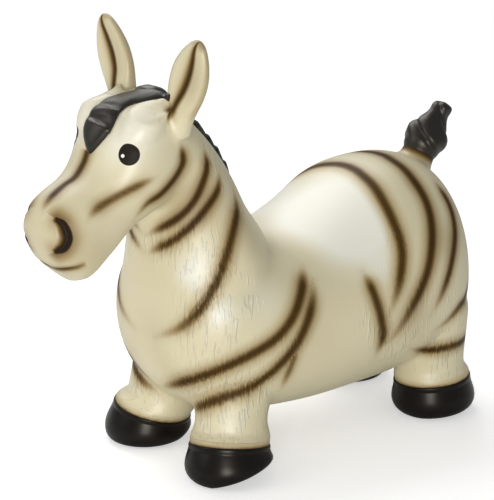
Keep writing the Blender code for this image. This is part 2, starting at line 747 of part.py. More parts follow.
def collar(name, rings):
    """A turned ring with a bore, from a closed row of rings."""
    mesh_data = bmesh.new()
    rows = [[mesh_data.verts.new(point) for point in ring] for ring in rings]
    for lower, upper in zip(rows, rows[1:] + rows[:1]):
        for at in range(VALVE_POINTS):
            after = (at + 1) % VALVE_POINTS
            mesh_data.faces.new((lower[at], lower[after], upper[after], upper[at]))
    return new_object(name, mesh_data)


def valve(belly):
    """A moulded seat in the belly and the ribbed plug that closes it, which pulls straight down."""
    mouth = Vector((0, VALVE_BEHIND, BELLY_CLEARANCE - VALVE_LIP))
    bore = PLUG_SHAFT_RADIUS + PLUG_RIB + PLUG_CLEARANCE
    recess = PLUG_HEAD_RADIUS + PLUG_CLEARANCE
    shelf = PLUG_HEAD_HEIGHT + GAP
    seat_profile = [
        (recess, 0),
        (VALVE_SEAT_RADIUS - VALVE_LIP, 0),
        (VALVE_SEAT_RADIUS, VALVE_LIP),
        (VALVE_SEAT_RADIUS, VALVE_SEAT_HEIGHT),
        (bore, VALVE_SEAT_HEIGHT),
        (bore, shelf),
        (recess, shelf),
    ]
    seat = collar("valve_seat", turned_rings(mouth, seat_profile))
    shoulder = PLUG_HEAD_HEIGHT + PLUG_SHAFT_LENGTH - PLUG_TIP_LENGTH
    plug_profile = [
        (PLUG_HEAD_RADIUS - PLUG_RIB, 0),
        (PLUG_HEAD_RADIUS, PLUG_RIB),
        (PLUG_HEAD_RADIUS, PLUG_HEAD_HEIGHT),
        (PLUG_SHAFT_RADIUS, PLUG_HEAD_HEIGHT),
    ]
    for number in range(1, int((PLUG_SHAFT_LENGTH - PLUG_TIP_LENGTH) / PLUG_RIB_PITCH)):
        at = PLUG_HEAD_HEIGHT + number * PLUG_RIB_PITCH
        for rise, out in ((0, 0), (1, 1), (2, 0)):
            plug_profile.append((PLUG_SHAFT_RADIUS + out * PLUG_RIB, at + rise * PLUG_RIB))
    plug_profile += [(PLUG_SHAFT_RADIUS, shoulder), (PLUG_TIP_RADIUS, shoulder + PLUG_TIP_LENGTH)]
    plug = loft("valve_plug", turned_rings(mouth, plug_profile))
    place_on_pivot(plug, mouth)
    around = VALVE_SEAT_RADIUS + GAP
    deep = PLUG_HEAD_HEIGHT + PLUG_SHAFT_LENGTH + GAP
    pocket = loft("valve_pocket", turned_rings(mouth, [(around, -CUT_OVERRUN), (around, deep)]))
    hide_cutter(pocket)
    subtract(belly, pocket)
    return {"valve_seat": seat, "valve_plug": plug}


def hide_cutter(cutter):
    cutter.hide_render = True
    cutter.display_type = "WIRE"


def nostrils(muzzle):
    """Hollows the two nostrils out of the muzzle."""
    poll, noseward, browward = head_frame()
    width, brow = row_at(HEAD_SHARES, NOSTRIL_PLACE_SHARE)[1:3]
    for hand, side in SIDES:
        centre = poll + noseward * NOSTRIL_PLACE_SHARE * HEAD_LENGTH
        centre += X_AXIS * side * NOSTRIL_SPREAD_SHARE * width * HEAD_WIDTH / 2
        centre += browward * (brow - NOSTRIL_RISE_SHARE) * HEAD_DEPTH
        rings = []
        for step in range(1, NOSTRIL_ROW_COUNT):
            turn = pi * step / NOSTRIL_ROW_COUNT
            at = centre + browward * cos(turn) * NOSTRIL_DEPTH
            half, long = sin(turn) * NOSTRIL_WIDTH / 2, sin(turn) * NOSTRIL_LENGTH / 2
            rings.append(oval(at, X_AXIS, noseward, half, long, long, points=NOSTRIL_POINTS))
        cutter = loft(f"nostril_{hand}", rings)
        hide_cutter(cutter)
        subtract(muzzle, cutter)


def centre_on_floor(pieces):
    """Puts the middle of the toy's own box over the origin."""
    ends = []
    graph = bpy.context.evaluated_depsgraph_get()
    for piece in pieces:
        found = piece.evaluated_get(graph)
        ends += [(found.matrix_world @ vertex.co).y for vertex in found.data.vertices]
    shift = -(min(ends) + max(ends)) / 2
    for thing in bpy.data.objects:
        thing.location.y += shift


def build():
    clear_scene()
    skin = blended_skin()
    cutter = clearance_of(skin)
    pieces = skin_sections(skin)
    nostrils(pieces["muzzle_section"])
    for end, front in ENDS:
        for hand, side in SIDES:
            name = f"{end}_{hand}_hoof"
            pieces[name] = hoof(name, side, front)
    pieces.update(ears(cutter))
    pieces.update(hair(cutter))
    pieces.update(tail(cutter))
    pieces.update(valve(pieces["saddle_section"]))
    bpy.data.objects.remove(skin)
    bpy.context.view_layer.update()
    centre_on_floor(pieces.values())
    for name, piece in pieces.items():
        piece.data.materials.append(pvc(name))
        piece.data.shade_smooth()
        piece.data.set_sharp_from_angle(angle=SMOOTH_ANGLE)


build()
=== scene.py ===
from math import cos, exp, pi, radians, sin

import bmesh
import bpy
import numpy as np
from mathutils import Matrix, Vector
from mathutils.bvhtree import BVHTree


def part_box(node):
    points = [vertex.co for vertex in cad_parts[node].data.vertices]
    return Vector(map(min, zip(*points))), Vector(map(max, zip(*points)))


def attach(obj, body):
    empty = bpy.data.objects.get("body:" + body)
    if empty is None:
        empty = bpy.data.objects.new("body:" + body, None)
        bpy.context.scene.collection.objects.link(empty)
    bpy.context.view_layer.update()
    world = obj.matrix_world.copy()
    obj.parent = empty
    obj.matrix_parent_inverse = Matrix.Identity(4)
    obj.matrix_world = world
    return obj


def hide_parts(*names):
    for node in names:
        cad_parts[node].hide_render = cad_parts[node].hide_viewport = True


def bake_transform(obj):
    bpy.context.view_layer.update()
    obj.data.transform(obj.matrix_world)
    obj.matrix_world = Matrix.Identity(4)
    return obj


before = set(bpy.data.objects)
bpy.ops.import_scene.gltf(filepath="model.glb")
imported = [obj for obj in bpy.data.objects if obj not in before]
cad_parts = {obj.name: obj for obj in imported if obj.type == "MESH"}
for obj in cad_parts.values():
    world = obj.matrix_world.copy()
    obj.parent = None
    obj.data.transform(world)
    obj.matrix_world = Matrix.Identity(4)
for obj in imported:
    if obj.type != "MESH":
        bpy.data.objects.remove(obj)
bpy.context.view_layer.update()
mm = 0.001
xAxis, yAxis, zAxis = Vector((1, 0, 0)), Vector((0, 1, 0)), Vector((0, 0, 1))
bpy.ops.object.select_all(action="DESELECT")
print("frame loaded")

# Camera at the photograph's angle; pixels below are places in its 494 x 500 frame
view = {
    "azimuth": radians(50.6),
    "elevation": radians(18.6),
    "distance": 2.775,
    "lens": 171.36,
    "sensor": 36,
    "clipEnd": 30,
    "aimRight": -0.0525,
    "aimUp": 0.1985,
    "aimBack": 0.055831,
    "photoWidth": 494,
    "photoHeight": 500,
    "pixel": 1.166 * mm,  # what a pixel spans on the toy
}


def makeCamera():
    a, e = view["azimuth"], view["elevation"]
    right = Vector((cos(a), sin(a), 0))
    up = Vector((-sin(a) * sin(e), cos(a) * sin(e), cos(e)))
    back = right.cross(up)
    aim = right * view["aimRight"] + up * view["aimUp"] + yAxis * view["aimBack"]
    bpy.ops.object.camera_add(location=aim + back * view["distance"])
    made = bpy.context.object
    made.rotation_euler = back.to_track_quat("Z", "Y").to_euler()
    made.data.lens, made.data.sensor_width = view["lens"], view["sensor"]
    made.data.clip_end = view["clipEnd"]
    bpy.context.scene.camera = made
    bpy.context.view_layer.update()
    return made


camera = makeCamera()


def photoRay(u, v):
    # where a pixel of the photograph looks from, and which way
    reach = view["sensor"] / view["lens"] / view["photoHeight"]
    way = Vector(((u - view["photoWidth"] / 2) * reach, (view["photoHeight"] / 2 - v) * reach, -1))
    return camera.location, (camera.matrix_world.to_quaternion() @ way).normalized()


# Modelling helpers
def pickOnly(obj):
    bpy.ops.object.select_all(action="DESELECT")
    obj.select_set(True)
    bpy.context.view_layer.objects.active = obj


def mode(name):
    bpy.ops.object.mode_set(mode=name)


def joined(name, objects):
    pickOnly(objects[0])
    for obj in objects[1:]:
        obj.select_set(True)
    bpy.ops.object.join()
    objects[0].name = objects[0].data.name = name
    return objects[0]


def applied(obj, kind, **settings):
    pickOnly(obj)
    modifier = obj.modifiers.new(kind.lower(), kind)
    for setting, value in settings.items():
        setattr(modifier, setting, value)
    bpy.ops.object.modifier_apply(modifier=modifier.name)


def readThree(items, field):
    # a row of three numbers for each vertex, normal or face
    values = np.empty(len(items) * 3, np.float32)
    items.foreach_get(field, values)
    return values.reshape(-1, 3).astype(float)


def readPoints(obj):
    return readThree(obj.data.vertices, "co")


def writePoints(obj, points):
    obj.data.vertices.foreach_set("co", points.astype(np.float32).ravel())
    obj.data.update()


def writeValues(obj, name, values):
    layer = obj.data.attributes.new(name, "FLOAT", "POINT")
    layer.data.foreach_set("value", values.astype(np.float32))


def weighted(obj, weights, kind, **settings):
    # applies a modifier as strongly as the weights say
    group = obj.vertex_groups.new(name="weights")
    for index, weight in enumerate(weights):
        if weight > 0:
            group.add([index], float(weight), "REPLACE")
    applied(obj, kind, vertex_group=group.name, **settings)
    obj.vertex_groups.clear()


def step(low, high, values):
    # a smooth rise from 0 at low to 1 at high
    part = np.clip((values - low) / (high - low), 0, 1)
    return part * part * (3 - 2 * part)


def bell(values, width):
    return np.exp(-(values / width) ** 2)


def between(ends, share):
    return ends[0] + share * (ends[1] - ends[0])


def smoothRows(rows, count):
    # count rows read off a smooth curve through the given ones
    spans = len(rows) - 1
    found = []
    for number in range(count):
        place = number * spans / (count - 1)
        at = min(int(place), spans - 1)
        part = place - at
        four = [rows[max(at - 1, 0)], rows[at], rows[at + 1], rows[min(at + 2, spans)]]
        a, b, c, d = (np.array(row, float) for row in four)
        bend, twist = 2 * a - 5 * b + 4 * c - d, 3 * b - a - 3 * c + d
        found.append((b + ((c - a) * part + bend * part ** 2 + twist * part ** 3) / 2).tolist())
    return found


def rowAt(rows, share, count=101):
    # the columns of the smooth curve's rows at a place, or at many
    columns = np.array(smoothRows(rows, count)).T
    return [np.interp(share, columns[0], column) for column in columns]


def ovalRing(centre, across, upward, half, up, down, squareness=2, topSquareness=None):
    # one ring of a loft, as a function from the turn round it to a point
    def place(turn):
        along, rise = cos(turn), sin(turn)
        power = 2 / (topSquareness if topSquareness and rise > 0 else squareness)
        wide = abs(along) ** power * (half if along > 0 else -half)
        tall = abs(rise) ** power * (up if rise > 0 else -down)
        return centre + across * wide + upward * tall
    return place


def lofted(name, rings, points=48):
    # a disc extruded from ring to ring, each of its points keeping its turn round the disc;
    # a ring is laid out before the next one is asked for
    noTurn = 99
    bpy.ops.object.select_all(action="DESELECT")
    bpy.ops.mesh.primitive_circle_add(vertices=points, radius=1, fill_type="TRIFAN")
    obj = bpy.context.object
    obj.name = obj.data.name = name
    mode("EDIT")
    bpy.ops.mesh.select_all(action="SELECT")
    for number, ring in enumerate(rings):
        if number:
            bpy.ops.mesh.extrude_region_move()
        mesh = bmesh.from_edit_mesh(obj.data)
        turns = mesh.verts.layers.float.get("turn") or mesh.verts.layers.float.new("turn")
        if not number:
            for vert in mesh.verts:
                vert[turns] = -vert.co.xy.angle_signed(Vector((1, 0))) if vert.co.length > 0.5 else noTurn
        middle = sum((ring(2 * pi * eighth / 8) for eighth in range(8)), Vector()) / 8
        for vert in mesh.verts:
            if vert.select:
                vert.co = ring(vert[turns]) if vert[turns] < noTurn else middle
        bmesh.update_edit_mesh(obj.data)
    bpy.ops.mesh.select_all(action="SELECT")
    bpy.ops.mesh.normals_make_consistent(inside=False)
    mode("OBJECT")
    obj.data.attributes.remove(obj.data.attributes["turn"])
    return obj


def editFaces(obj, chosen):
    # opens an object for editing with only the faces picked whose middles are chosen
    pickOnly(obj)
    mode("EDIT")
    bpy.ops.mesh.select_mode(type="FACE")
    bpy.ops.mesh.select_all(action="DESELECT")
    mode("OBJECT")
    obj.data.polygons.foreach_set("select", chosen(readThree(obj.data.polygons, "center")))
    mode("EDIT")


def subdivideWhere(obj, chosen, cuts=1):
    editFaces(obj, chosen)
    bpy.ops.mesh.subdivide(number_cuts=cuts, smoothness=0)
    mode("OBJECT")


# Skin: barrel, neck, head and legs from their side-view stations, melted into one form
skin = {
    "barrelLength": 429 * mm,
    "barrelWidth": 254 * mm,
    "barrelHeight": 255 * mm,
    "bellyClearance": 44 * mm,
    "breastShare": 0.4965,  # of the barrel's length, ahead of the middle of the hooves
    "neckLength": 202 * mm,
    "neckWidth": 184 * mm,
    "neckDepth": 164 * mm,
    "neckLean": radians(20.2),
    "neckBackShare": 0.205,  # of the barrel's length
    "neckRiseShare": 0.5333,  # of the barrel's height
    "neckSquareness": 2.2,
    "crestSquareness": 1.75,
    "headLength": 218 * mm,
    "headWidth": 120 * mm,
    "headDepth": 120 * mm,
    "headDrop": radians(44),
    "pollForward": 13 * mm,
    "pollRise": 50 * mm,
    "footShares": {"front": -0.366, "rear": 0.3613},  # of the barrel's length
    "footSpreadShare": 0.2992,  # of the barrel's width
    "legLeanShares": {"front": (0.134, 0.0886), "rear": (0.047, -0.0240)},  # inward and back
    "legTopShare": 0.4,  # of the barrel's height
    "legTopRadius": 53 * mm,
    "legAnkleRadius": 40 * mm,
    "rings": {"barrel": 48, "neck": 24, "head": 40, "brow": 15, "leg": 24},
    "voxel": 3.0 * mm,
    "smoothing": 18,
    "barrel": [  # place along, top, widest and belly line, half width, squareness
        (0.000, 0.514, 0.478, 0.443, 0.07, 2.0),
        (0.009, 0.678, 0.482, 0.310, 0.36, 2.0),
        (0.056, 0.812, 0.482, 0.169, 0.66, 2.1),
        (0.135, 0.843, 0.470, 0.078, 0.82, 2.2),
        (0.263, 0.795, 0.447, 0.027, 0.92, 2.2),
        (0.420, 0.770, 0.427, 0.000, 0.97, 2.15),
        (0.573, 0.875, 0.427, 0.000, 0.99, 2.1),
        (0.683, 0.978, 0.439, 0.016, 1.00, 2.2),
        (0.788, 1.000, 0.455, 0.043, 0.975, 2.2),
        (0.881, 0.978, 0.463, 0.071, 0.88, 2.2),
        (0.944, 0.890, 0.459, 0.129, 0.71, 2.1),
        (0.986, 0.715, 0.455, 0.251, 0.425, 2.0),
        (1.000, 0.486, 0.451, 0.416, 0.07, 2.0),
    ],
    "neck": [  # place along, bow, half width, crest and throat depth, tilt
        (0.000, 0.000, 0.98, 1.05, 0.91, 75),
        (0.234, -0.023, 1.00, 0.945, 1.02, 65),
        (0.436, -0.045, 0.87, 0.77, 0.90, 62),
        (0.612, -0.052, 0.76, 0.72, 0.78, 55),
        (0.812, -0.052, 0.685, 0.60, 0.70, 48),
        (1.000, 0.000, 0.59, 0.55, 0.61, 35),
    ],
    "head": [  # place along, half width, brow height, jaw depth, squareness
        (0.000, 0.13, 0.07, 0.07, 2.0),
        (0.022, 0.50, 0.19, 0.25, 2.0),
        (0.109, 0.83, 0.270, 0.46, 2.2),
        (0.247, 0.97, 0.40, 0.55, 2.4),
        (0.378, 1.00, 0.365, 0.57, 2.4),
        (0.508, 0.91, 0.280, 0.49, 2.2),
        (0.619, 0.81, 0.300, 0.43, 2.2),
        (0.735, 0.80, 0.385, 0.42, 2.2),
        (0.820, 0.81, 0.405, 0.395, 2.2),
        (0.900, 0.76, 0.350, 0.385, 2.3),
        (0.955, 0.64, 0.23, 0.365, 2.3),
        (1.000, 0.38, 0.04, 0.30, 2.2),
    ],
    "leg": [  # place down, radius between the ankle's and the top's
        (0.00, 0.00), (0.08, 0.85), (0.26, 0.62), (0.46, 0.20),
        (0.58, 0.00), (0.65, 0.10), (0.72, 0.40), (0.85, 0.48),
    ],
    "browPlace": 0.231,
    "browOut": 37 * mm,
    "browUp": 30 * mm,
    "browSize": (24 * mm, 34 * mm, 20 * mm),
    "creaseSmoothing": 75,  # where neck and barrel meet
    "creasePlace": (62 * mm, 12 * mm),  # back and up from the neck's root
    "creaseSize": (42 * mm, 48 * mm),
    "creaseFade": (14 * mm, 42 * mm),
}
ear = {
    "length": 111 * mm,
    "width": 56 * mm,
    "depth": 30 * mm,
    "spread": 45.5 * mm,
    "place": 26 * mm,
    "sink": 10 * mm,
    "forward": 6 * mm,
    "lean": radians(20),
    "backLean": radians(0.6),
    "turn": radians(1),
    "bow": 3.5 * mm,  # of its lower half, towards the other ear
    "hollow": 1.15,
    "fold": 0.45,  # how sharp the crease in the cup is
    "foldPower": 1.6,
    "reach": 1.7,  # times its half width, for what shapes it
    "softReach": 1.6,
    "softFade": (16 * mm, 34 * mm),  # up the ear, where the smoothing ends
    "softness": (1, 0.05),
    "fineStart": 15 * mm,
    "firmFade": (20 * mm, 38 * mm),
    "cut": 22 * mm,
    "cutReach": (2.2, 8 * mm, 34 * mm),  # across, up and out of the cup
    "bendStart": 24 * mm,
    "bendEnd": 48 * mm,
    "rings": 56,
    "samples": 60,
    "rows": [  # place up, half width, half depth, hollow
        (0.00, 0.62, 0.90, 0.0),
        (0.12, 0.61, 0.90, 0.0),
        (0.28, 0.76, 0.88, 0.2),
        (0.46, 0.93, 0.90, 0.7),
        (0.64, 0.93, 0.84, 0.8),
        (0.80, 0.74, 0.66, 0.6),
        (0.92, 0.47, 0.44, 0.2),
        (0.98, 0.23, 0.24, 0.0),
        (1.00, 0.05, 0.06, 0.0),
    ],
}
tail = {
    "length": 105 * mm,
    "radius": 23 * mm,
    "curl": 4 * mm,  # backwards at the tip
    "curlStart": 0.55,
    "fade": (21 * mm, 39 * mm),  # where the dock's paint turns black
    "hairStart": 37 * mm,
    "lean": radians(34),
    "inset": 0.1026 * skin["barrelLength"],
    "rise": 0.8392 * skin["barrelHeight"],
    "cut": 24 * mm,
    "cutReach": (12 * mm, 40 * mm),  # up and out of the dock
    "bendStart": 25 * mm,
    "bendEnd": 43 * mm,
    "tuck": 0.2,  # how much the dock narrows under the hair
    "tuckFade": (0.375, 0.44),
    "dockRings": 16,
    "tuftRings": 90,
    "rows": [  # place up, radius
        (0.00, 1.15), (0.20, 1.00), (0.32, 0.86), (0.43, 0.93), (0.51, 1.04), (0.60, 0.99),
        (0.69, 0.82), (0.77, 0.64), (0.85, 0.53), (0.93, 0.54), (0.975, 0.43), (1.00, 0.12),
    ],
    "waves": [(0.07, 2, 12), (0.03, 5, -17)],  # height, how many round the tuft, and turn up it
    "wavesFade": (0.38, 0.5),
    "groove": 0.15,
    "grooveWidth": 0.3,
    "grooveStarts": (0.4, 3.3),
    "grooveTurn": 7.5,
    "swell": (-0.03, 0.04),
    "swellFade": (0.35, 0.42),
}
hoofShape = {
    "radius": 44 * mm,
    "height": {"front": 37 * mm, "rear": 42 * mm},
    "drawnHeight": 46 * mm,  # of the profile below
    "inset": 0.6 * mm,  # of the leg inside its hoof's top
    "tuck": 3 * mm,  # further inset of the leg below that
    "tuckDepth": 6 * mm,
    "flare": (15 * mm, 0.5 * mm),  # above the hoof, where the leg widens to it
    "inner": (20 * mm, 32 * mm),  # the leg's own surface lies between these distances
    "outer": (62 * mm, 52 * mm),
    "stretch": 1.03,
    "lean": 0.75,
    "heelRise": {"front": 17 * mm, "rear": 5 * mm},
    "heelStart": -0.4,
    "heelOut": 0.64,  # how far the raised side is turned outward
    "heelFade": 0.85,
    "heelPower": 1.5,
    "rimRise": 6 * mm,  # of the faint ring above it
    "profile": [  # height, out from the radius, both in mm
        (0.0, -28.0), (0.0, -9.0), (0.6, -5.2), (2.0, -2.4), (4.2, -0.2), (7.0, 1.7), (11.0, 3.3),
        (16.0, 4.1), (21.0, 4.0), (27.0, 3.1), (33.0, 1.7), (37.6, 0.75), (38.6, 0.45), (39.6, 0.3),
        (40.6, 0.45), (42.0, 0.6), (44.0, 0.5), (45.2, 0.2), (45.9, -0.6), (46.2, -2.2), (46.0, -6.0),
    ],
}
sides = {"left": 1, "right": -1}
feet = [(end, hand, side) for end in skin["footShares"] for hand, side in sides.items()]
hubY = view["aimBack"]  # middle of the four hooves
breastY = hubY - skin["breastShare"] * skin["barrelLength"]


def barrelRings():
    high = skin["barrelHeight"]
    for along, top, wide, low, width, square in smoothRows(skin["barrel"], skin["rings"]["barrel"]):
        centre = Vector((0, breastY + along * skin["barrelLength"], skin["bellyClearance"] + wide * high))
        half = width * skin["barrelWidth"] / 2
        yield ovalRing(centre, xAxis, zAxis, half, (top - wide) * high, (wide - low) * high, square)


def neckStation(along, bow, width, crest, throat, tilt):
    lean = skin["neckLean"]
    rootZ = skin["bellyClearance"] + skin["neckRiseShare"] * skin["barrelHeight"]
    root = Vector((0, breastY + skin["neckBackShare"] * skin["barrelLength"], rootZ))
    rise, forward = Vector((0, -sin(lean), cos(lean))), Vector((0, -cos(lean), -sin(lean)))
    centre = root + (rise * along + forward * bow) * skin["neckLength"]
    crestward = Vector((0, sin(radians(tilt)), cos(radians(tilt))))
    deep = skin["neckDepth"] / 2
    return centre, crestward, width * skin["neckWidth"] / 2, crest * deep, throat * deep


def neckRings():
    for row in smoothRows(skin["neck"], skin["rings"]["neck"]):
        centre, crestward, half, crest, throat = neckStation(*row)
        squares = skin["neckSquareness"], skin["crestSquareness"]
        yield ovalRing(centre, xAxis, crestward, half, crest, throat, *squares)


poll = neckStation(*skin["neck"][-1])[0] + Vector((0, skin["pollForward"], skin["pollRise"]))
noseward = Vector((0, -cos(skin["headDrop"]), -sin(skin["headDrop"])))
browward = Vector((0, -sin(skin["headDrop"]), cos(skin["headDrop"])))


def headRings():
    deep = skin["headDepth"]
    for along, width, brow, jaw, square in smoothRows(skin["head"], skin["rings"]["head"]):
        centre = poll + noseward * along * skin["headLength"]
        half = width * skin["headWidth"] / 2
        yield ovalRing(centre, xAxis, browward, half, brow * deep, jaw * deep, square)


def browRings(side):
    # the ridge over an eye
    half, long, high = skin["browSize"]
    centre = poll + noseward * skin["browPlace"] * skin["headLength"] + browward * skin["browUp"]
    centre += xAxis * side * skin["browOut"]
    for number in range(skin["rings"]["brow"]):
        turn = pi * (number + 0.5) / skin["rings"]["brow"]
        size = sin(turn)
        place = centre - noseward * cos(turn) * long
        yield ovalRing(place, xAxis, browward, size * half, size * high, size * high)


def legLine(end, side):
    # middle of the sole and top of the leg
    wide, long = skin["barrelWidth"], skin["barrelLength"]
    foot = Vector((side * skin["footSpreadShare"] * wide, hubY + skin["footShares"][end] * long, 0))
    inward, back = skin["legLeanShares"][end]
    rise = skin["bellyClearance"] + skin["legTopShare"] * skin["barrelHeight"]
    return foot, foot + Vector((-side * inward * wide, back * long, rise))


def legRings(end, side):
    foot, top = legLine(end, side)
    for down, share in smoothRows(skin["leg"], skin["rings"]["leg"]):
        radius = between((skin["legAnkleRadius"], skin["legTopRadius"]), share)
        yield ovalRing(top.lerp(foot, down), xAxis, yAxis, radius, radius, radius)


def earFrame(side):
    # root of the ear, and the directions to its tip, across it and out of its cup
    root = poll + noseward * ear["place"] - browward * ear["sink"]
    root += xAxis * side * ear["spread"] - yAxis * ear["forward"]
    tipward = Matrix.Rotation(side * ear["lean"], 3, "Y") @ zAxis
    tipward = (tipward + Vector((0, sin(ear["backLean"]), 0))).normalized()
    across = (xAxis - tipward * xAxis.dot(tipward)).normalized()
    across = Matrix.Rotation(side * ear["turn"], 3, tipward) @ across
    return root, tipward, across, across.cross(tipward)


def earBow(share):
    # the bow up the ear; 27 / 4 makes the curve 1 at its most, a third of the way up
    share = np.clip(share, 0, 1)
    return ear["bow"] * 27 / 4 * share * (1 - share) ** 2


def earPlaces(points, side):
    # places up the ear, across it as a share of its half width, and out of its cup
    root, tipward, across, cupward = (np.array(part) for part in earFrame(side))
    local = points - root
    up = local @ tipward
    share = up / ear["length"]
    local = local + side * across * earBow(share)[:, None]
    half = rowAt(ear["rows"], share, ear["samples"])[1] * ear["width"] / 2
    return up, local @ across / half, local @ cupward


def earRings(side):
    root, tipward, across, cupward = earFrame(side)
    for up, width, depth, hollow in smoothRows(ear["rows"], ear["rings"]):
        half, thick, bow = width * ear["width"] / 2, depth * ear["depth"] / 2, float(earBow(up))

        def place(turn):
            sideways, deep = cos(turn), sin(turn)
            if deep > 0:
                fold = ear["fold"] * (1 - abs(sideways)) ** ear["foldPower"]
                deep -= hollow * ear["hollow"] * ((1 - ear["fold"]) * (1 - sideways ** 2) + fold)
            middle = root + tipward * up * ear["length"]
            return middle + across * (sideways * half - side * bow) + cupward * deep * thick
        yield place


def upEars(points, reach):
    # how far up an ear the points are, and below 0 away from the ears
    most = np.full(len(points), -1.0)
    for side in sides.values():
        up, across, _ = earPlaces(points, side)
        most = np.maximum(most, np.where(abs(across) < reach, up, -1))
    return most


def tailFrame():
    # root of the tail, and the directions to its tip and forward across it
    lean = tail["lean"]
    root = Vector((0, breastY + skin["barrelLength"] - tail["inset"], skin["bellyClearance"] + tail["rise"]))
    return root, Vector((0, sin(lean), cos(lean))), Vector((0, -cos(lean), sin(lean)))


def tailPlaces(points):
    # places up the tail, and distances from its middle
    root, tipward, _ = (np.array(part) for part in tailFrame())
    local = points - root
    up = local @ tipward
    return up, np.linalg.norm(local - up[:, None] * tipward, axis=1)


def dockRings():
    root, tipward, forward = tailFrame()
    for up, width in smoothRows(tail["rows"][:5], tail["dockRings"]):
        radius = width * tail["radius"] * (1 - tail["tuck"] * float(step(*tail["tuckFade"], up)))
        yield ovalRing(root + tipward * up * tail["length"], xAxis, forward, radius, radius, radius)


def rimAxis(end, side):
    # the way the top of a hoof faces, which is near to along the leg
    foot, top = legLine(end, side)
    return zAxis.lerp((top - foot).normalized(), hoofShape["lean"]).normalized()


def hoofPlaces(points, end, side):
    # height above the hoof's top, and way and distance out from its middle
    foot, axis = (np.array(part) for part in (legLine(end, side)[0], rimAxis(end, side)))
    local = points - foot
    up = local @ axis
    out = local - up[:, None] * axis
    far = np.linalg.norm(out / np.array([1, hoofShape["stretch"], 1]), axis=1)
    return up - hoofShape["height"][end], out, far


def insideHooves(points):
    # fits each leg to the top of its hoof and draws it in where the hoof covers it
    for end, _, side in feet:
        above, out, far = hoofPlaces(points, end, side)
        tuck = hoofShape["tuck"] * step(0, -hoofShape["tuckDepth"], above)
        held = hoofShape["radius"] - hoofShape["inset"] - tuck
        near = step(*hoofShape["outer"], far) * step(*hoofShape["inner"], far)
        pull = step(*hoofShape["flare"], above) * near
        points += out * ((held / np.maximum(far, 1e-6) - 1) * pull)[:, None]
    return points


def creaseWeights(points):
    # strongest in the hollow where the neck meets the barrel
    (back, up), (long, tall) = skin["creasePlace"], skin["creaseSize"]
    local = points - np.array(neckStation(*skin["neck"][0])[0])
    crease = bell(local[:, 1] - back, long) * bell(local[:, 2] - up, tall)
    return crease * step(*skin["creaseFade"], abs(points[:, 0]))


def makeSkin():
    parts = [lofted("barrel", barrelRings(), points=64), lofted("neck", neckRings())]
    parts.append(lofted("head", headRings(), points=64))
    earLofts = []
    for side in sides.values():
        parts += [lofted("leg", legRings(end, side)) for end in skin["footShares"]]
        earLofts.append(lofted("ear", earRings(side), points=72))
        parts += [lofted("ear", earRings(side)), lofted("brow", browRings(side))]
    parts.append(lofted("dock", dockRings()))
    body = joined("zebra_skin", parts)
    applied(body, "REMESH", mode="VOXEL", voxel_size=skin["voxel"])
    soft = between(ear["softness"], step(*ear["softFade"], upEars(readPoints(body), ear["softReach"])))
    weighted(body, soft, "SMOOTH", iterations=skin["smoothing"])
    weighted(body, creaseWeights(readPoints(body)), "SMOOTH", iterations=skin["creaseSmoothing"])
    writePoints(body, insideHooves(readPoints(body)))
    subdivideWhere(body, lambda middles: upEars(middles, ear["reach"]) > ear["fineStart"])
    firm = step(*ear["firmFade"], upEars(readPoints(body), ear["reach"]))
    target = joined("ear_target", earLofts)
    weighted(body, firm, "SHRINKWRAP", target=target, wrap_method="NEAREST_SURFACEPOINT")
    bpy.data.objects.remove(target)
    return body


zebra = makeSkin()
faces = [tuple(face.vertices) for face in zebra.data.polygons]
skinTree = BVHTree.FromPolygons([vertex.co.copy() for vertex in zebra.data.vertices], faces)
print("skin made", len(faces))


def onSkin(u, v):
    # the place on the skin that a pixel shows, and the skin's normal there
    place, normal, _, _ = skinTree.ray_cast(*photoRay(u, v))
    return place, normal


def mirrored(line):
    return line * np.array([-1, 1, 1])


def lineOnSkin(pixels, before=(), after=(), count=36, near=True):
    # places on the skin along a smooth line of pixels, with further places in mm where the photograph ends
    def drawn(places):
        return [skinTree.find_nearest(Vector(place))[0] for place in smoothRows(places, 6 * len(places))]

    found = []
    for u, v in smoothRows(pixels, count):
        place, _ = onSkin(u, v)
        if place and (place.x > -1 * mm or not near):
            found.append(place)
    before, after = ([skinTree.find_nearest(Vector(at) * mm)[0] for at in end] for end in (before, after))
    lead = drawn([*before, found[0]])[:-1] if before else []
    trail = drawn([found[-1], *after])[1:] if after else []
    return np.array([tuple(place) for place in [*lead, *found, *trail]])


def lineField(points, line, reach):
    # distance to a line, place along it from 0 to 1 and nearest place on it, for the points within reach
    away = 9.0
    distance, along, nearest = np.full(len(points), away), np.zeros(len(points)), np.zeros((len(points), 3))
    low, high = line.min(0) - reach, line.max(0) + reach
    chosen = np.flatnonzero(((points > low) & (points < high)).all(1))
    local = points[chosen]
    lengths = np.linalg.norm(np.diff(line, axis=0), axis=1)
    travelled = np.concatenate([[0], np.cumsum(lengths)]) / lengths.sum()
    best = np.full(len(chosen), away)
    for number, (a, b) in enumerate(zip(line[:-1], line[1:])):
        part = np.clip((local - a) @ (b - a) / max(lengths[number] ** 2, 1e-12), 0, 1)
        foot = a + part[:, None] * (b - a)
        gap = np.linalg.norm(local - foot, axis=1)
        closer = gap < best
        best[closer] = gap[closer]
        along[chosen[closer]] = travelled[number] + part[closer] * (travelled[number + 1] - travelled[number])
        nearest[chosen[closer]] = foot[closer]
    distance[chosen] = best
    return distance, along, nearest


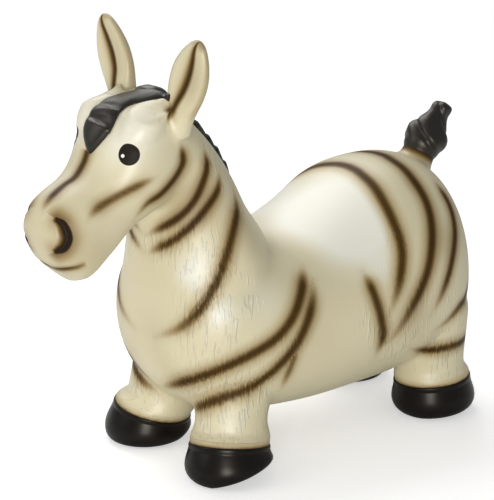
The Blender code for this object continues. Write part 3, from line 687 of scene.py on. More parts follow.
# Paint and relief: airbrushed stripes, nostrils, mouth line, eyes and strokes of moulded hair, with painted
# highlights and painted shade in the tint spots and on the ears
stripes = {
    "half": 4.3 * mm,
    "edge": 1.6,  # how soft a stripe counts as where two meet
    "widths": (0.8, 1),  # at the faded ends and elsewhere
    "powers": (0.08, 1),
    "halo": 14 * mm,
    "haloStrength": 0.6,
    "reach": 45 * mm,
    "far": 6.0,  # half widths away, where no stripe is
    "lines": {  # fading at the first and last end, width, strength, and pixels
        "nose": (0.02, 0.3, 1.0, 0.95, [
            (88, 149), (86, 156), (83, 164), (75, 177), (64, 185), (52, 196), (45, 206), (43, 213),
        ]),
        "cheek": (0.3, 0.25, 0.85, 0.72, [(158, 177), (140, 185), (116, 197), (97, 209), (87, 221)]),
        "cheek_back": (0.15, 0.35, 0.95, 0.92, [
            (180, 144), (183, 161), (175, 178), (161, 194), (147, 204), (134, 220),
        ]),
        "neck_high": (0.15, 0.25, 0.82, 0.95, [
            (204, 147), (207, 166), (202, 185), (192, 204), (175, 220), (147, 235),
        ]),
        "neck_middle": (0.18, 0.25, 0.9, 0.92, [
            (220, 171), (218, 189), (208, 206), (192, 225), (171, 242), (140, 256),
        ]),
        "neck_low": (0.15, 0.35, 1.05, 0.9, [
            (233, 189), (237, 209), (233, 232), (225, 261), (215, 285), (200, 310), (180, 328), (155, 337),
        ]),
        "shoulder": (0.12, 0.2, 1.15, 0.95, [
            (303, 266), (302, 289), (294, 315), (279, 336), (256, 352), (228, 366), (200, 377), (163, 388),
        ]),
        "elbow": (0.18, 0.15, 1.15, 0.9, [
            (314, 279), (312, 304), (305, 328), (292, 351), (271, 373), (245, 390), (219, 399),
        ]),
        "elbow_branch": (0.3, 0.5, 0.8, 0.6, [(299, 345), (290, 369), (281, 390)]),
        "rump_first": (0.0, 0.25, 1.15, 0.95, [
            (352, 168), (360, 173), (376, 189), (393, 221), (402, 251), (399, 285), (389, 317),
        ]),
        "rump_second": (0.0, 0.3, 1.2, 0.95, [
            (386, 156), (406, 171), (425, 199), (432, 229), (429, 266), (416, 300), (397, 332), (380, 349),
        ]),
        "rump_third": (0.15, 0.3, 1.0, 0.92, [
            (434, 180), (449, 204), (455, 232), (451, 266), (442, 294), (431, 315),
        ]),
        "thigh_high": (0.12, 0.3, 0.95, 0.85, [(464, 300), (449, 319), (432, 332)]),
        "thigh_low": (0.2, 0.25, 0.95, 0.92, [(460, 343), (449, 347), (431, 350), (410, 349)]),
        "flank": (0.2, 0.25, 1.1, 0.9, [(363, 272), (372, 289), (380, 313), (383, 336), (376, 356)]),
    },
    "unmirrored": ("nose",),
    "before": {  # places in mm ahead of the pixels
        "rump_first": [(0, 137.3, 294)],
        "rump_second": [(0, 188, 299)],
        "thigh_high": [(12, 262, 212), (52, 256, 190), (88, 240, 163)],
        "thigh_low": [(50, 262, 96), (84, 262, 92), (113, 237, 91)],
    },
    "after": {"elbow": [(52, -121, 80), (31, -112, 68)]},
}
face = {
    "eye": (128.9, 154.5),
    "eyeRadius": 11.6 * mm,
    "glint": (122.7, 156),
    "glintRadius": 1.9 * mm,
    "printEdge": 0.35 * mm,
    "nostril": [(56.5, 219.5), (63, 225), (67.5, 238), (63.5, 248), (55.5, 252)],
    "nostrilDepth": 5 * mm,
    "nostrilWidths": (6 * mm, 13 * mm),  # of the steep back wall and of the shallow front one
    "nostrilPaint": (5.6 * mm, 11 * mm),
    "nostrilEdges": (0.5, 1.25),
    "nostrilTaper": (0.35, 1),
    "nostrilEnds": (0.02, 0.98),  # of the line, where the taper is at its least
    "nostrilPower": 0.7,
    "nostrilSpread": 1.15,
    "nostrilHalo": 12 * mm,
    "nostrilHalos": (0.55, 0.25),
    "mouth": [(39, 260.5), (50.7, 267.5), (61.4, 269.3), (75.7, 267.8), (86.4, 263.8)],
    "mouthDepth": 1.6 * mm,
    "mouthWidth": 1.7 * mm,
    "mouthStart": 0.15,  # the taper's place at the middle of the face
    "mouthPower": 0.5,
    "mouthShades": ((3.2 * mm, 0.62), (8 * mm, 0.2)),
    "reach": 26 * mm,
    "fineReach": (15 * mm, 6 * mm),  # of the finer mesh round the nostrils and the mouth
}
earPaint = {  # shares across are from -1 to 1, and shares up from 0 to 1
    "reach": (1.5, 1.15),
    "start": (8 * mm, 18 * mm),
    "depth": (24 * mm, 16 * mm),
    "creases": ((0.02, 0.19, 0.84), (-0.14, 0.30, 0.14)),  # share across, width and strength
    "creaseStart": (0.10, 0.2),
    "creaseFull": (0.06, 0.3),
    "creaseTaper": (0.35, 1),
    "front": (-0.7, -0.25),  # of the half depth
    "rimWidth": 0.08,
    "rimStrengths": (0.12, 0.72),
    "rimSides": (0.2, -0.2),
    "rimStart": (0.15, 0.35),
    "tip": 0.25,
    "tipFade": (0.9, 1.0),
    # painted shade: beige on the same side of both ears, from the crease outwards
    "paintedShade": (0.02, 0.44),
    "paintedShadeSides": (0.1, 0.5),
    "paintedShadeStart": (0.1, 0.3),
}
tint = {
    "muzzle": 0.2,
    "muzzleRadius": 60 * mm,
    "drift": ((9 * mm, 1 * mm, 0.2), (2.5 * mm, 0, 0.4)),  # the hooves' black a little up each leg
    "driftReach": (70 * mm, 60 * mm),
    "tailReach": (40 * mm, 30 * mm),
    "spots": [  # pixel, radius in pixels and amount: beige above 0, pale below; the pale spots are pearly paint with painted highlights, the beige ones airbrushed beige with painted shade in hollows
        (330, 200, 46, -1.0), (348, 236, 38, -1.0), (300, 215, 30, -0.6), (372, 225, 22, -0.5),
        (385, 270, 20, -0.4), (105, 165, 22, -0.05), (194, 274, 19, -0.75), (219, 312, 16, -0.65),
        (205, 250, 14, -0.1), (228, 425, 20, -0.3), (436, 372, 20, -0.1), (138, 126, 36, -0.5),
        (118, 150, 18, -0.25), (270, 300, 30, -0.35), (445, 240, 24, 0.5), (415, 320, 30, 0.5),
        (410, 185, 14, 0.3), (180, 200, 24, 0.7), (210, 215, 20, 0.3), (60, 245, 30, 0.25),
        (95, 255, 24, 0.35), (320, 340, 40, 0.25), (280, 250, 26, 0.3), (150, 330, 26, 0.25),
        (132, 350, 20, 0.3), (240, 215, 18, 0.5), (255, 245, 22, 0.3), (230, 350, 20, 0.1),
    ],
}
fur = {
    "layers": [  # pitch from stroke to stroke, sway, and what sets the noises of the layers apart
        (4.6 * mm, 2.6, (0, 0, 0), (9, 4, 0)),
        (6.4 * mm, 2.2, (5, 3, 7), (9, 4, 7)),
    ],
    "fineSway": 0.5,
    "scales": ((24, 24, 30), (90, 90, 110), (190, 190, 60)),  # of sway, fine sway and breaks
    "edge": (0.22, 0.03),
    "broken": (0.54, 0.66),
    "spots": [  # pixel, radius in pixels and amount of the moulded hair
        (205, 245, 20, 1.0), (196, 275, 26, 1.0), (222, 292, 24, 0.9), (246, 300, 16, 0.6),
        (228, 325, 28, 0.8), (195, 335, 26, 0.9), (165, 250, 18, 0.8), (148, 246, 14, 0.7),
        (207, 150, 12, 0.9), (216, 166, 13, 0.9), (228, 185, 14, 0.9), (238, 205, 14, 0.7),
        (228, 418, 30, 1.0), (215, 396, 26, 0.9), (190, 385, 26, 0.8), (150, 398, 26, 0.9),
        (255, 385, 26, 0.8), (290, 345, 18, 0.6), (372, 325, 18, 0.8), (400, 345, 26, 1.0),
        (440, 335, 26, 1.0), (446, 366, 24, 1.0), (416, 300, 24, 0.6), (455, 290, 20, 0.6),
        (400, 235, 16, 0.4), (385, 262, 14, 0.3), (180, 235, 16, 0.5),
    ],
}


def nearLine(lines, reach):
    def chosen(middles):
        return np.min([lineField(middles, line, reach)[0] for line in lines], axis=0) < reach
    return chosen


def spotField(points, spots):
    total = np.zeros(len(points))
    for u, v, radius, amount in spots:
        place, _ = onSkin(u, v)
        if place:
            width = radius * view["pixel"]
            for centre in (np.array(place), mirrored(np.array(place))):
                spot = amount * bell(np.linalg.norm(points - centre, axis=1), width)
                total += spot
            if abs(place.x) < width / 2:  # a spot on the middle counts once
                total -= spot
    return total


def carveFace():
    # sinks the nostrils, with a steep back wall, and the mouth line in; gives their darkness
    nostril = lineOnSkin(face["nostril"], count=24)
    mouth = lineOnSkin(face["mouth"], count=24)
    mouth = np.concatenate([mirrored(mouth[:1]), mouth]) if mouth[0][0] > 0 else mouth
    nostrils, mouths = [nostril, mirrored(nostril)], [mouth, mirrored(mouth)]
    subdivideWhere(zebra, nearLine(nostrils, face["fineReach"][0]), 3)
    subdivideWhere(zebra, nearLine(mouths, face["fineReach"][1]))
    points, normals = readPoints(zebra), readThree(zebra.data.vertex_normals, "vector")
    dark = np.zeros(len(points))
    moved = points.copy()
    for line, hand in zip(nostrils, sides.values()):
        distance, along, nearest = lineField(points, line, face["reach"])
        shares = np.linspace(0, 1, len(line))
        ways = np.stack([np.interp(along, shares, way) for way in np.gradient(line, axis=0).T], 1)
        back = np.einsum("ij,ij->i", np.cross(normals, ways), points - nearest) * hand > 0
        width, painted, edge, halo = (
            np.where(back, *face[f"nostril{part}"]) for part in ("Widths", "Paint", "Edges", "Halos")
        )
        swell = np.sin(pi * np.clip(along, *face["nostrilEnds"])) ** face["nostrilPower"]
        taper = between(face["nostrilTaper"], swell)
        dip = step(0, 1, 1 - distance / (width * taper)) * face["nostrilDepth"] * taper
        moved -= normals * dip[:, None]
        core = step(0, edge, face["nostrilSpread"] - distance / (painted * taper))
        core = np.clip(core + halo * bell(distance, face["nostrilHalo"]), 0, 1)
        dark = np.maximum(dark, core * (distance < 1))
    for line in mouths:
        distance, along, _ = lineField(points, line, face["reach"])
        taper = np.sin(pi * between((face["mouthStart"], 1), along)).clip(0) ** face["mouthPower"]
        dip = bell(distance, face["mouthWidth"]) * taper * (line is mouth or abs(points[:, 0]) > 1 * mm)
        moved -= normals * (dip * face["mouthDepth"])[:, None]
        shade = sum(strength * bell(distance, width) for width, strength in face["mouthShades"])
        dark = np.maximum(dark, shade * taper * (distance < 1))
    writePoints(zebra, moved)
    return dark


def paintEars(points, dark, warm):
    # a dark crease down the cup, thin dark rims, a dark tip, and beige painted shade on one half of each ear
    for side in sides.values():
        up, across, cup = earPlaces(points, side)
        share = up / ear["length"]
        onEar = step(*earPaint["reach"], abs(across)) * step(*earPaint["start"], up)
        onEar = onEar * step(*earPaint["depth"], abs(cup))
        crease = sum(power * bell(across - middle, width) for middle, width, power in earPaint["creases"])
        crease = crease * step(*earPaint["creaseStart"], share)
        crease = crease * between(earPaint["creaseTaper"], step(*earPaint["creaseFull"], share))
        thick = rowAt(ear["rows"], share, ear["samples"])[2] * ear["depth"] / 2
        crease = crease * step(*earPaint["front"], cup / thick)
        rim = between(earPaint["rimStrengths"], step(*earPaint["rimSides"], across))
        rim = rim * step(*earPaint["rimStart"], share) * bell(abs(across) - 1, earPaint["rimWidth"])
        tip = step(*earPaint["tipFade"], share) * earPaint["tip"]
        dark = np.maximum(dark, onEar * np.maximum(np.maximum(crease, rim), tip))
        # beige painted shade on the same side of both ears
        paintedShade = between(earPaint["paintedShade"], step(*earPaint["paintedShadeSides"], across))
        warm = warm + onEar * paintedShade * step(*earPaint["paintedShadeStart"], share)
    return dark, warm


def paintStripes(points):
    # distance in half widths and strength of the darkest stripe at each point, and the halos of all
    nearest, strength, halo, most = (np.full(len(points), value) for value in (stripes["far"], 0.0, 0.0, 0.0))
    for name, (first, last, wide, dark, pixels) in stripes["lines"].items():
        both = name not in stripes["unmirrored"]
        line = lineOnSkin(pixels, stripes["before"].get(name, ()), stripes["after"].get(name, ()), near=both)
        for path in (line, mirrored(line)) if both else (line,):
            distance, along, _ = lineField(points, path, stripes["reach"])
            taper = (step(0, first, along) if first else 1) * step(0, last, 1 - along)
            ratio = distance / (stripes["half"] * wide * between(stripes["widths"], taper))
            power = dark * between(stripes["powers"], taper)
            ink = power * bell(ratio, stripes["edge"])
            darker = ink > most
            strength, nearest = np.where(darker, power, strength), np.where(darker, ratio, nearest)
            most = np.where(darker, ink, most)
            halo = 1 - (1 - halo) * (1 - stripes["haloStrength"] * power * bell(distance, stripes["halo"]))
    return nearest, strength, halo


def paintSkin():
    dark = carveFace()
    points = readPoints(zebra)
    nearest, strength, halo = paintStripes(points)
    # the spots' tone holds painted highlights where pale and painted shade where beige, and the ears add
    # painted shade
    dark, warm = paintEars(points, dark, spotField(points, tint["spots"]))
    up, away = tailPlaces(points)
    dark = np.maximum(dark, step(*tail["fade"], up) ** 2 * step(*tint["tailReach"], away))
    for end, _, side in feet:
        above, _, far = hoofPlaces(points, end, side)
        drift = sum(amount * step(high, low, above) for high, low, amount in tint["drift"])
        dark = np.maximum(dark, drift * step(*tint["driftReach"], far))
    nose = np.array(poll + noseward * skin["headLength"])
    warm = warm + tint["muzzle"] * bell(np.linalg.norm(points - nose, axis=1), tint["muzzleRadius"])
    writeValues(zebra, "stripe", nearest)
    writeValues(zebra, "strength", strength)
    writeValues(zebra, "halo", halo)
    writeValues(zebra, "dark", np.clip(dark, 0, 1))
    writeValues(zebra, "warm", np.clip(warm, -1, 1))
    writeValues(zebra, "fur", np.clip(spotField(points, fur["spots"]), 0, 1))


paintSkin()
print("skin painted", len(zebra.data.polygons))


# Hooves: a flat sole with a rounded edge, a bulging wall and a faint groove under the top
def hoofRings(end, side):
    foot, _ = legLine(end, side)
    axis = rimAxis(end, side)
    out, start = hoofShape["heelOut"], hoofShape["heelStart"]
    for height, beyond in hoofShape["profile"]:
        share = height * mm / hoofShape["drawnHeight"]
        normal = zAxis.lerp(axis, share).normalized()
        across = (xAxis - normal * xAxis.dot(normal)).normalized()
        wide = hoofShape["radius"] + beyond * mm
        long = wide * hoofShape["stretch"]
        centre = foot.lerp(foot + axis * hoofShape["height"][end], share)
        ring = ovalRing(centre, across, normal.cross(across), wide, long, long)
        fade = (1 - min(share / hoofShape["heelFade"], 1)) ** hoofShape["heelPower"]
        heel = 0 if (height, beyond) == hoofShape["profile"][0] else hoofShape["heelRise"][end] * fade

        def place(turn):
            point = ring(turn)
            away = (point - foot) / hoofShape["radius"]
            back = away.x * side * out + away.y * (1 - out * out) ** 0.5
            return point + zAxis * heel * max(back - start, 0) / (1 - start)
        yield place


def makeHooves():
    made = []
    for end, hand, side in feet:
        name = f"{end}_{hand}_hoof"
        hoof = lofted(f"{name}_shell", hoofRings(end, side), points=96)
        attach(hoof, "body")
        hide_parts(name)
        made.append(hoof)
    return made


hooves = makeHooves()
print("hooves made")

# Hair: locks laid along lines on the skin, melted into a mane and a forelock, and a tail tuft lofted on its
# own
hair = {
    "voxel": 1.3 * mm,
    "maneWidth": 23 * mm,
    "maneHeight": 7.5 * mm,
    "maneSink": 6 * mm,
    "mane": [  # place up the neck, width and height
        (0.24, 0.30, 0.55), (0.30, 0.70, 0.60), (0.45, 0.95, 0.80), (0.62, 1.00, 1.00), (0.82, 1.00, 1.00),
        (1.00, 1.15, 0.75),
    ],
    "pollPlaces": (0.03, 0.07, 0.12, 0.18),  # along the head, where the mane runs on
    "pollHalfWidth": 13 * mm,
    "pollHeight": 5 * mm,
    "tuftPitch": 21 * mm,
    "tuftWidths": (0.88, 1.08),  # each tuft of the mane grows from the first to the second
    "tuftHeights": (0.78, 1.12),
    "maneRows": 20,
    "rows": 90,
    "above": 60 * mm,  # the crest, where rays down to the skin start
    "smoothing": {"mane": 3, "forelock": 5},
    "forelockSink": 5 * mm,
    "forelock": [  # pixels along its middle, half width and height in mm; a wave starts with a steep rise
        (170, 98, 4, 3), (160, 96, 9, 4.5), (148, 97, 14, 5.5), (135, 98, 16, 6),
        (123, 101, 17.5, 6.5), (114, 105, 19, 6.5), (109, 109, 20, 4.5), (106, 112, 20.5, 8.5),
        (103.5, 117, 21, 8), (101.5, 121.5, 21.5, 4.5), (99.5, 125, 22, 9), (97, 130, 21, 9),
        (94.5, 137, 17, 8), (92.5, 144, 11.5, 6.5), (91, 150, 6, 4.5), (90, 154, 1.5, 2),
    ],
}


def lockRings(rows, sink):
    # rings across a lock from rows of place, normal, half width and height
    for number, (place, normal, half, high) in enumerate(rows):
        before, after = rows[max(number - 1, 0)][0], rows[min(number + 1, len(rows) - 1)][0]
        onward = (after - before).normalized()
        across = onward.cross(normal).normalized()
        yield ovalRing(place, across, across.cross(onward), half, high, sink)


def melted(lock, kind):
    applied(lock, "REMESH", mode="VOXEL", voxel_size=hair["voxel"])
    applied(lock, "SMOOTH", iterations=hair["smoothing"][kind])
    return lock


def maneRows():
    # place, half width and height along the crest and over the poll
    rows = []
    for along, width, height in smoothRows(hair["mane"], hair["maneRows"]):
        centre, crestward, _, crest, _ = neckStation(*rowAt(skin["neck"], along))
        place = centre + crestward * crest
        rows.append((*place, width * hair["maneWidth"] / 2, height * hair["maneHeight"]))
    for along in hair["pollPlaces"]:
        brow = rowAt(skin["head"], along)[2] * skin["headDepth"]
        place = poll + noseward * along * skin["headLength"] + browward * brow
        rows.append((*place, hair["pollHalfWidth"], hair["pollHeight"]))
    return smoothRows(rows, hair["rows"])


def makeMane():
    rows = maneRows()
    places = [Vector(row[:3]) for row in rows]
    travelled = 0
    full = []
    for number, (place, row) in enumerate(zip(places, rows)):
        before, after = places[max(number - 1, 0)], places[min(number + 1, len(rows) - 1)]
        up = (after - before).normalized().cross(xAxis)
        found, normal, _, _ = skinTree.ray_cast(place + up * hair["above"], -up)
        grown = (travelled / hair["tuftPitch"]) % 1
        wide, high = between(hair["tuftWidths"], grown), between(hair["tuftHeights"], grown)
        full.append((found or place, normal or up, row[3] * wide, row[4] * high))
        travelled += (after - place).length
    made = melted(lofted("mane_hair", lockRings(full, hair["maneSink"]), points=32), "mane")
    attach(made, "body")
    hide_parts("mane_crest")
    return made


def makeForelock():
    rows = []
    for u, v, half, high in smoothRows(hair["forelock"], hair["rows"]):
        place, normal = onSkin(u, v)
        if place:
            rows.append((place, normal, half * mm, high * mm))
    made = melted(lofted("forelock_hair", lockRings(rows, hair["forelockSink"]), points=40), "forelock")
    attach(made, "body")
    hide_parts("forelock")
    return made


def tuftLock(turn, up):
    # the tuft's waves and its two grooves, which wind up to the tip, as a share of its radius
    folds = sum(height * cos(count * turn + twist * up) for height, count, twist in tail["waves"])
    for start in tail["grooveStarts"]:
        gap = (turn - start - tail["grooveTurn"] * up + pi) % (2 * pi) - pi
        folds -= tail["groove"] * exp(-(gap / tail["grooveWidth"]) ** 2)
    swell = between(tail["swell"], step(*tail["swellFade"], up))
    return 1 + swell + folds * step(*tail["wavesFade"], up)


def tuftRings():
    root, tipward, forward = tailFrame()
    for up, width in smoothRows(tail["rows"], tail["tuftRings"]):
        curl = tail["curl"] * (max(up - tail["curlStart"], 0) / (1 - tail["curlStart"])) ** 2
        centre = root + tipward * up * tail["length"] - forward * curl

        def place(turn):
            radius = width * tail["radius"] * float(tuftLock(turn, up))
            return centre + (xAxis * cos(turn) + forward * sin(turn)) * radius
        if up * tail["length"] >= tail["hairStart"]:
            yield place


def makeTuft():
    made = lofted("tuft_hair", tuftRings(), points=120)
    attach(made, "tail")
    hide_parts("tail_tuft")
    return made


mane, forelock, tuft = makeMane(), makeForelock(), makeTuft()
print("hair made")


# Parting: the ears and the dock are cut off at their soft roots as pieces of their own
def partedOff(name, inRegion, point, normal):
    # cuts the skin by a plane inside a region and takes off what is beyond it; both holes are closed
    def beyond(middles):
        return inRegion(middles) & ((middles - np.array(point)) @ np.array(normal) > 0)

    editFaces(zebra, inRegion)
    bpy.ops.mesh.bisect(plane_co=point, plane_no=normal, use_fill=False)
    mode("OBJECT")
    editFaces(zebra, beyond)
    bpy.ops.mesh.separate(type="SELECTED")
    mode("OBJECT")
    taken = next(obj for obj in bpy.context.selected_objects if obj != zebra)
    taken.name = taken.data.name = name
    for obj in (zebra, taken):
        pickOnly(obj)
        mode("EDIT")
        bpy.ops.mesh.select_mode(type="EDGE")
        bpy.ops.mesh.select_all(action="DESELECT")
        bpy.ops.mesh.select_non_manifold(
            extend=False, use_wire=False, use_multi_face=False, use_non_contiguous=False, use_verts=False
        )
        bpy.ops.mesh.edge_face_add()
        mode("OBJECT")
    return taken


def bendingPiece(name, body, inRegion, sizes, root, tipward):
    made = partedOff(name, inRegion, root + tipward * sizes["cut"], tipward)
    start, end = (tuple(root + tipward * sizes[place]) for place in ("bendStart", "bendEnd"))
    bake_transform(made)
    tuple(start)
    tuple(end)
    return made


def partEar(hand, side):
    def nearEar(middles):
        widest, lowest, deepest = ear["cutReach"]
        up, across, cup = earPlaces(middles, side)
        return (abs(across) < widest) & (abs(cup) < deepest) & (up > lowest)

    made = bendingPiece(f"{hand}_ear_skin", f"ear_{hand}", nearEar, ear, *earFrame(side)[:2])
    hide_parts(f"ear_{hand}", f"ear_root_{hand}")
    return made


def partDock():
    def nearDock(middles):
        lowest, widest = tail["cutReach"]
        up, away = tailPlaces(middles)
        return (away < widest) & (up > lowest)

    made = bendingPiece("dock_skin", "tail", nearDock, tail, *tailFrame()[:2])
    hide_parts("tail_dock")
    return made


# Valve pocket: the hole in the belly that the valve's seat sits in
valvePocket = {
    "gap": 0.3 * mm,
    "below": 12 * mm,
}


def cutValvePocket():
    low, high = (Vector(corner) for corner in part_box("valve_seat"))
    gap = valvePocket["gap"]
    deep = high.z - low.z + valvePocket["below"]
    place = ((low.x + high.x) / 2, (low.y + high.y) / 2, high.z + gap - deep / 2)
    radius = (high.x - low.x) / 2 + gap
    bpy.ops.object.select_all(action="DESELECT")
    bpy.ops.mesh.primitive_cylinder_add(vertices=96, radius=radius, depth=deep, location=place)
    cutter = bpy.context.object
    applied(zebra, "BOOLEAN", object=cutter, operation="DIFFERENCE", solver="MANIFOLD")
    bpy.data.objects.remove(cutter)


zebra.data.shade_smooth()
skinPieces = [*(partEar(hand, side) for hand, side in sides.items()), partDock()]
cutValvePocket()
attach(zebra, "body")
sections = [f"{part}_section" for part in ("chest", "saddle", "rump", "neck", "head", "muzzle")]
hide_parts(*sections, *[f"{end}_{hand}_leg" for end, hand, _ in feet])
print("skin parted", {piece.name: len(piece.data.polygons) for piece in (zebra, *skinPieces)})


# Materials
class Wire:
    # a shader socket that sums and products can be written with
    def __init__(self, sheet, socket):
        self.sheet, self.socket = sheet, socket

    def math(self, operation, *others):
        return self.sheet.node("ShaderNodeMath", dict(operation=operation), dict(enumerate((self, *others))))

    def __add__(self, other):
        return self.math("ADD", other)

    __radd__ = __add__

    def __sub__(self, other):
        return self.math("SUBTRACT", other)

    def __rsub__(self, other):
        return self.math("MULTIPLY_ADD", -1, other)

    def __mul__(self, other):
        return self.math("MULTIPLY", other)

    def __truediv__(self, other):
        return self.math("DIVIDE", other)

    def rise(self, low, high):
        # a smooth rise from 0 to 1
        settings = dict(interpolation_type="SMOOTHSTEP", clamp=True)
        return self.sheet.node("ShaderNodeMapRange", settings, {0: self, 1: low, 2: high})


class Sheet:
    # the nodes of a material or a world, with its shader's fixed values
    def __init__(self, owner, **fixed):
        owner.use_nodes = True
        self.owner, self.tree = owner, owner.node_tree
        self.shader = self.tree.nodes.get("Principled BSDF")
        for socket, value in fixed.items():
            self.shader.inputs[socket.replace("_", " ")].default_value = value

    def node(self, kind, settings=None, sockets=None, out=0):
        made = self.tree.nodes.new(kind)
        for setting, value in (settings or {}).items():
            if setting == "stops":
                stops = made.color_ramp.elements
                while len(stops) < len(value):
                    stops.new(0.5)
                for stop, (place, colour) in zip(stops, value):
                    stop.position, stop.color = place, (*colour, 1)
            else:
                setattr(made, setting, value)
        for socket, value in (sockets or {}).items():
            if isinstance(value, Wire):
                self.tree.links.new(value.socket, made.inputs[socket])
            else:
                made.inputs[socket].default_value = value
        return Wire(self, made.outputs[out])

    def vector(self, operation, *values):
        out = "Value" if operation in ("DOT_PRODUCT", "DISTANCE", "LENGTH") else "Vector"
        return self.node("ShaderNodeVectorMath", dict(operation=operation), dict(enumerate(values)), out)

    def where(self):
        return self.node("ShaderNodeTexCoord", out="Object")

    def folded(self):
        # the place, with the right side folded onto the left
        left = self.vector("MULTIPLY", self.vector("ABSOLUTE", self.where()), (1, 0, 0))
        return self.vector("MULTIPLY_ADD", self.where(), (0, 1, 1), left)

    def layer(self, name):
        return self.node("ShaderNodeAttribute", dict(attribute_name=name), out="Fac")

    def noise(self, scale, turn=(0, 0, 0), detail=2.0, shift=(0, 0, 0)):
        sockets = {"Vector": self.where(), "Scale": scale, "Rotation": turn, "Location": shift}
        sockets = {"Vector": self.node("ShaderNodeMapping", None, sockets), "Scale": 1.0, "Detail": detail}
        return self.node("ShaderNodeTexNoise", None, sockets, out="Fac")

    def mix(self, factor, first, second, blend="MIX"):
        settings = dict(data_type="RGBA", blend_type=blend)
        return self.node("ShaderNodeMix", settings, {0: factor, 6: first, 7: second}, out=2)

    def feed(self, socket, value):
        self.tree.links.new(value.socket, self.shader.inputs[socket])

    def finish(self, output, shown):
        self.tree.links.new(shown.socket, self.tree.nodes[output].inputs[0])

    def bump(self, height, distance, strength=1.0):
        sockets = {"Height": height, "Distance": distance, "Strength": strength}
        self.feed("Normal", self.node("ShaderNodeBump", None, sockets))


pvcColours = {
    "cream": (0.690, 0.620, 0.405, 1),
    # beige is airbrushed paint, and painted shade in the tint spots and on the ears; pale is pearly paint,
    # and painted highlights in the spots and on the stroke ridges
    "beige": (0.450, 0.360, 0.185, 1),
    "pale": (0.860, 0.845, 0.730, 1),
    "eye": (0.018, 0.012, 0.008, 1),
    "glint": (0.9, 0.9, 0.88, 1),
    "black": (0.0050, 0.0042, 0.0038, 1),
    "soot": (0.0090, 0.0078, 0.0068, 1),
    "blackSheen": (1.0, 0.93, 0.80, 1),
    "milky": (0.720, 0.720, 0.680, 1),
    "cloudy": (0.62, 0.62, 0.56, 1),
    "brown": [  # multiplies what is under it, by how thick the paint is
        (0.0, (1, 1, 1)), (0.2, (0.66, 0.57, 0.43)), (0.45, (0.34, 0.25, 0.125)),
        (0.75, (0.135, 0.082, 0.026)), (1.0, (0.066, 0.034, 0.006)),
    ],
}
pvcLook = {
    "roughness": 0.5,
    "coat": 0.9,
    "fixed": dict(
        Coat_Roughness=0.46, Coat_IOR=1.75, Specular_IOR_Level=0.12, Specular_Tint=(0.94, 0.98, 1.0, 1)
    ),
    "edges": ((1.9, -0.1, 0.62), (4.2, -0.6, 0.38)),  # of a stripe, in half widths, and how dark
    "tones": (0.8, 0.25, 0.4),  # of the halos, the clouds and the strokes, whose raised ridges are paler: partly thinner paint, partly a painted highlight
    "relief": 0.9 * mm,
    "grain": 0.03,
    "grainScale": (900, 900, 900),
    "valveGrain": 0.08 * mm,
    "valveRoughness": (0.36, 0.5),
    "valveBump": 0.6,
    "creamUnevenness": 0.12,  # of the roughness
    "blackUnevenness": 0.1,
    "creamClouds": (9, 9, 9),
    "blackClouds": (26, 26, 26),
    "valveClouds": (70, 70, 70),
    "darkest": (0.82, 1.08),
    "painted": (0.1, 0.8),  # how thick the paint is where the sheen ends
    "rim": -0.4,
    "rimTop": (1.4 * mm, 0.2 * mm),
    "rimReach": (70 * mm, 60 * mm),
    "fraying": ((520, 520, 70), (0.25, 0, 0)),
    "combing": 0.8,
    "frayed": (0.15, 1.7),  # unevenness of a stripe's edge, and more of it on the moulded hair
    "blacks": {  # roughness, gloss, scale and turn of the combing, and its depth
        "hoof_black_pvc": (0.26, 0.20, (60, 60, 60), (0, 0, 0), 0.05 * mm),
        "hair_black_pvc": (0.36, 0.60, (420, 110, 110), (-skin["headDrop"], 0, 0), 0.35 * mm),
        "tuft_black_pvc": (0.36, 0.62, (330, 330, 80), (-tail["lean"], 0, 0), 0.25 * mm),
    },
}


def hairStrokes(sheet):
    # thin wavy upright lines of raised hair, each broken into strokes, alike on both sides
    sideways = (cos(view["azimuth"]), sin(view["azimuth"]), 0)
    across = sheet.vector("DOT_PRODUCT", sheet.folded(), sideways)
    coarse, fine, breaks = fur["scales"]
    layers = []
    for pitch, sway, shift, apart in fur["layers"]:
        bend = sheet.noise(coarse, detail=1.0, shift=shift) * sway
        bend = bend + sheet.noise(fine, detail=0.0, shift=shift) * fur["fineSway"]
        line = (across / pitch + bend).math("PINGPONG", 0.5).rise(*fur["edge"])
        layers.append(line * sheet.noise(breaks, detail=0.0, shift=apart).rise(*fur["broken"]))
    return layers[0].math("MAXIMUM", layers[1])


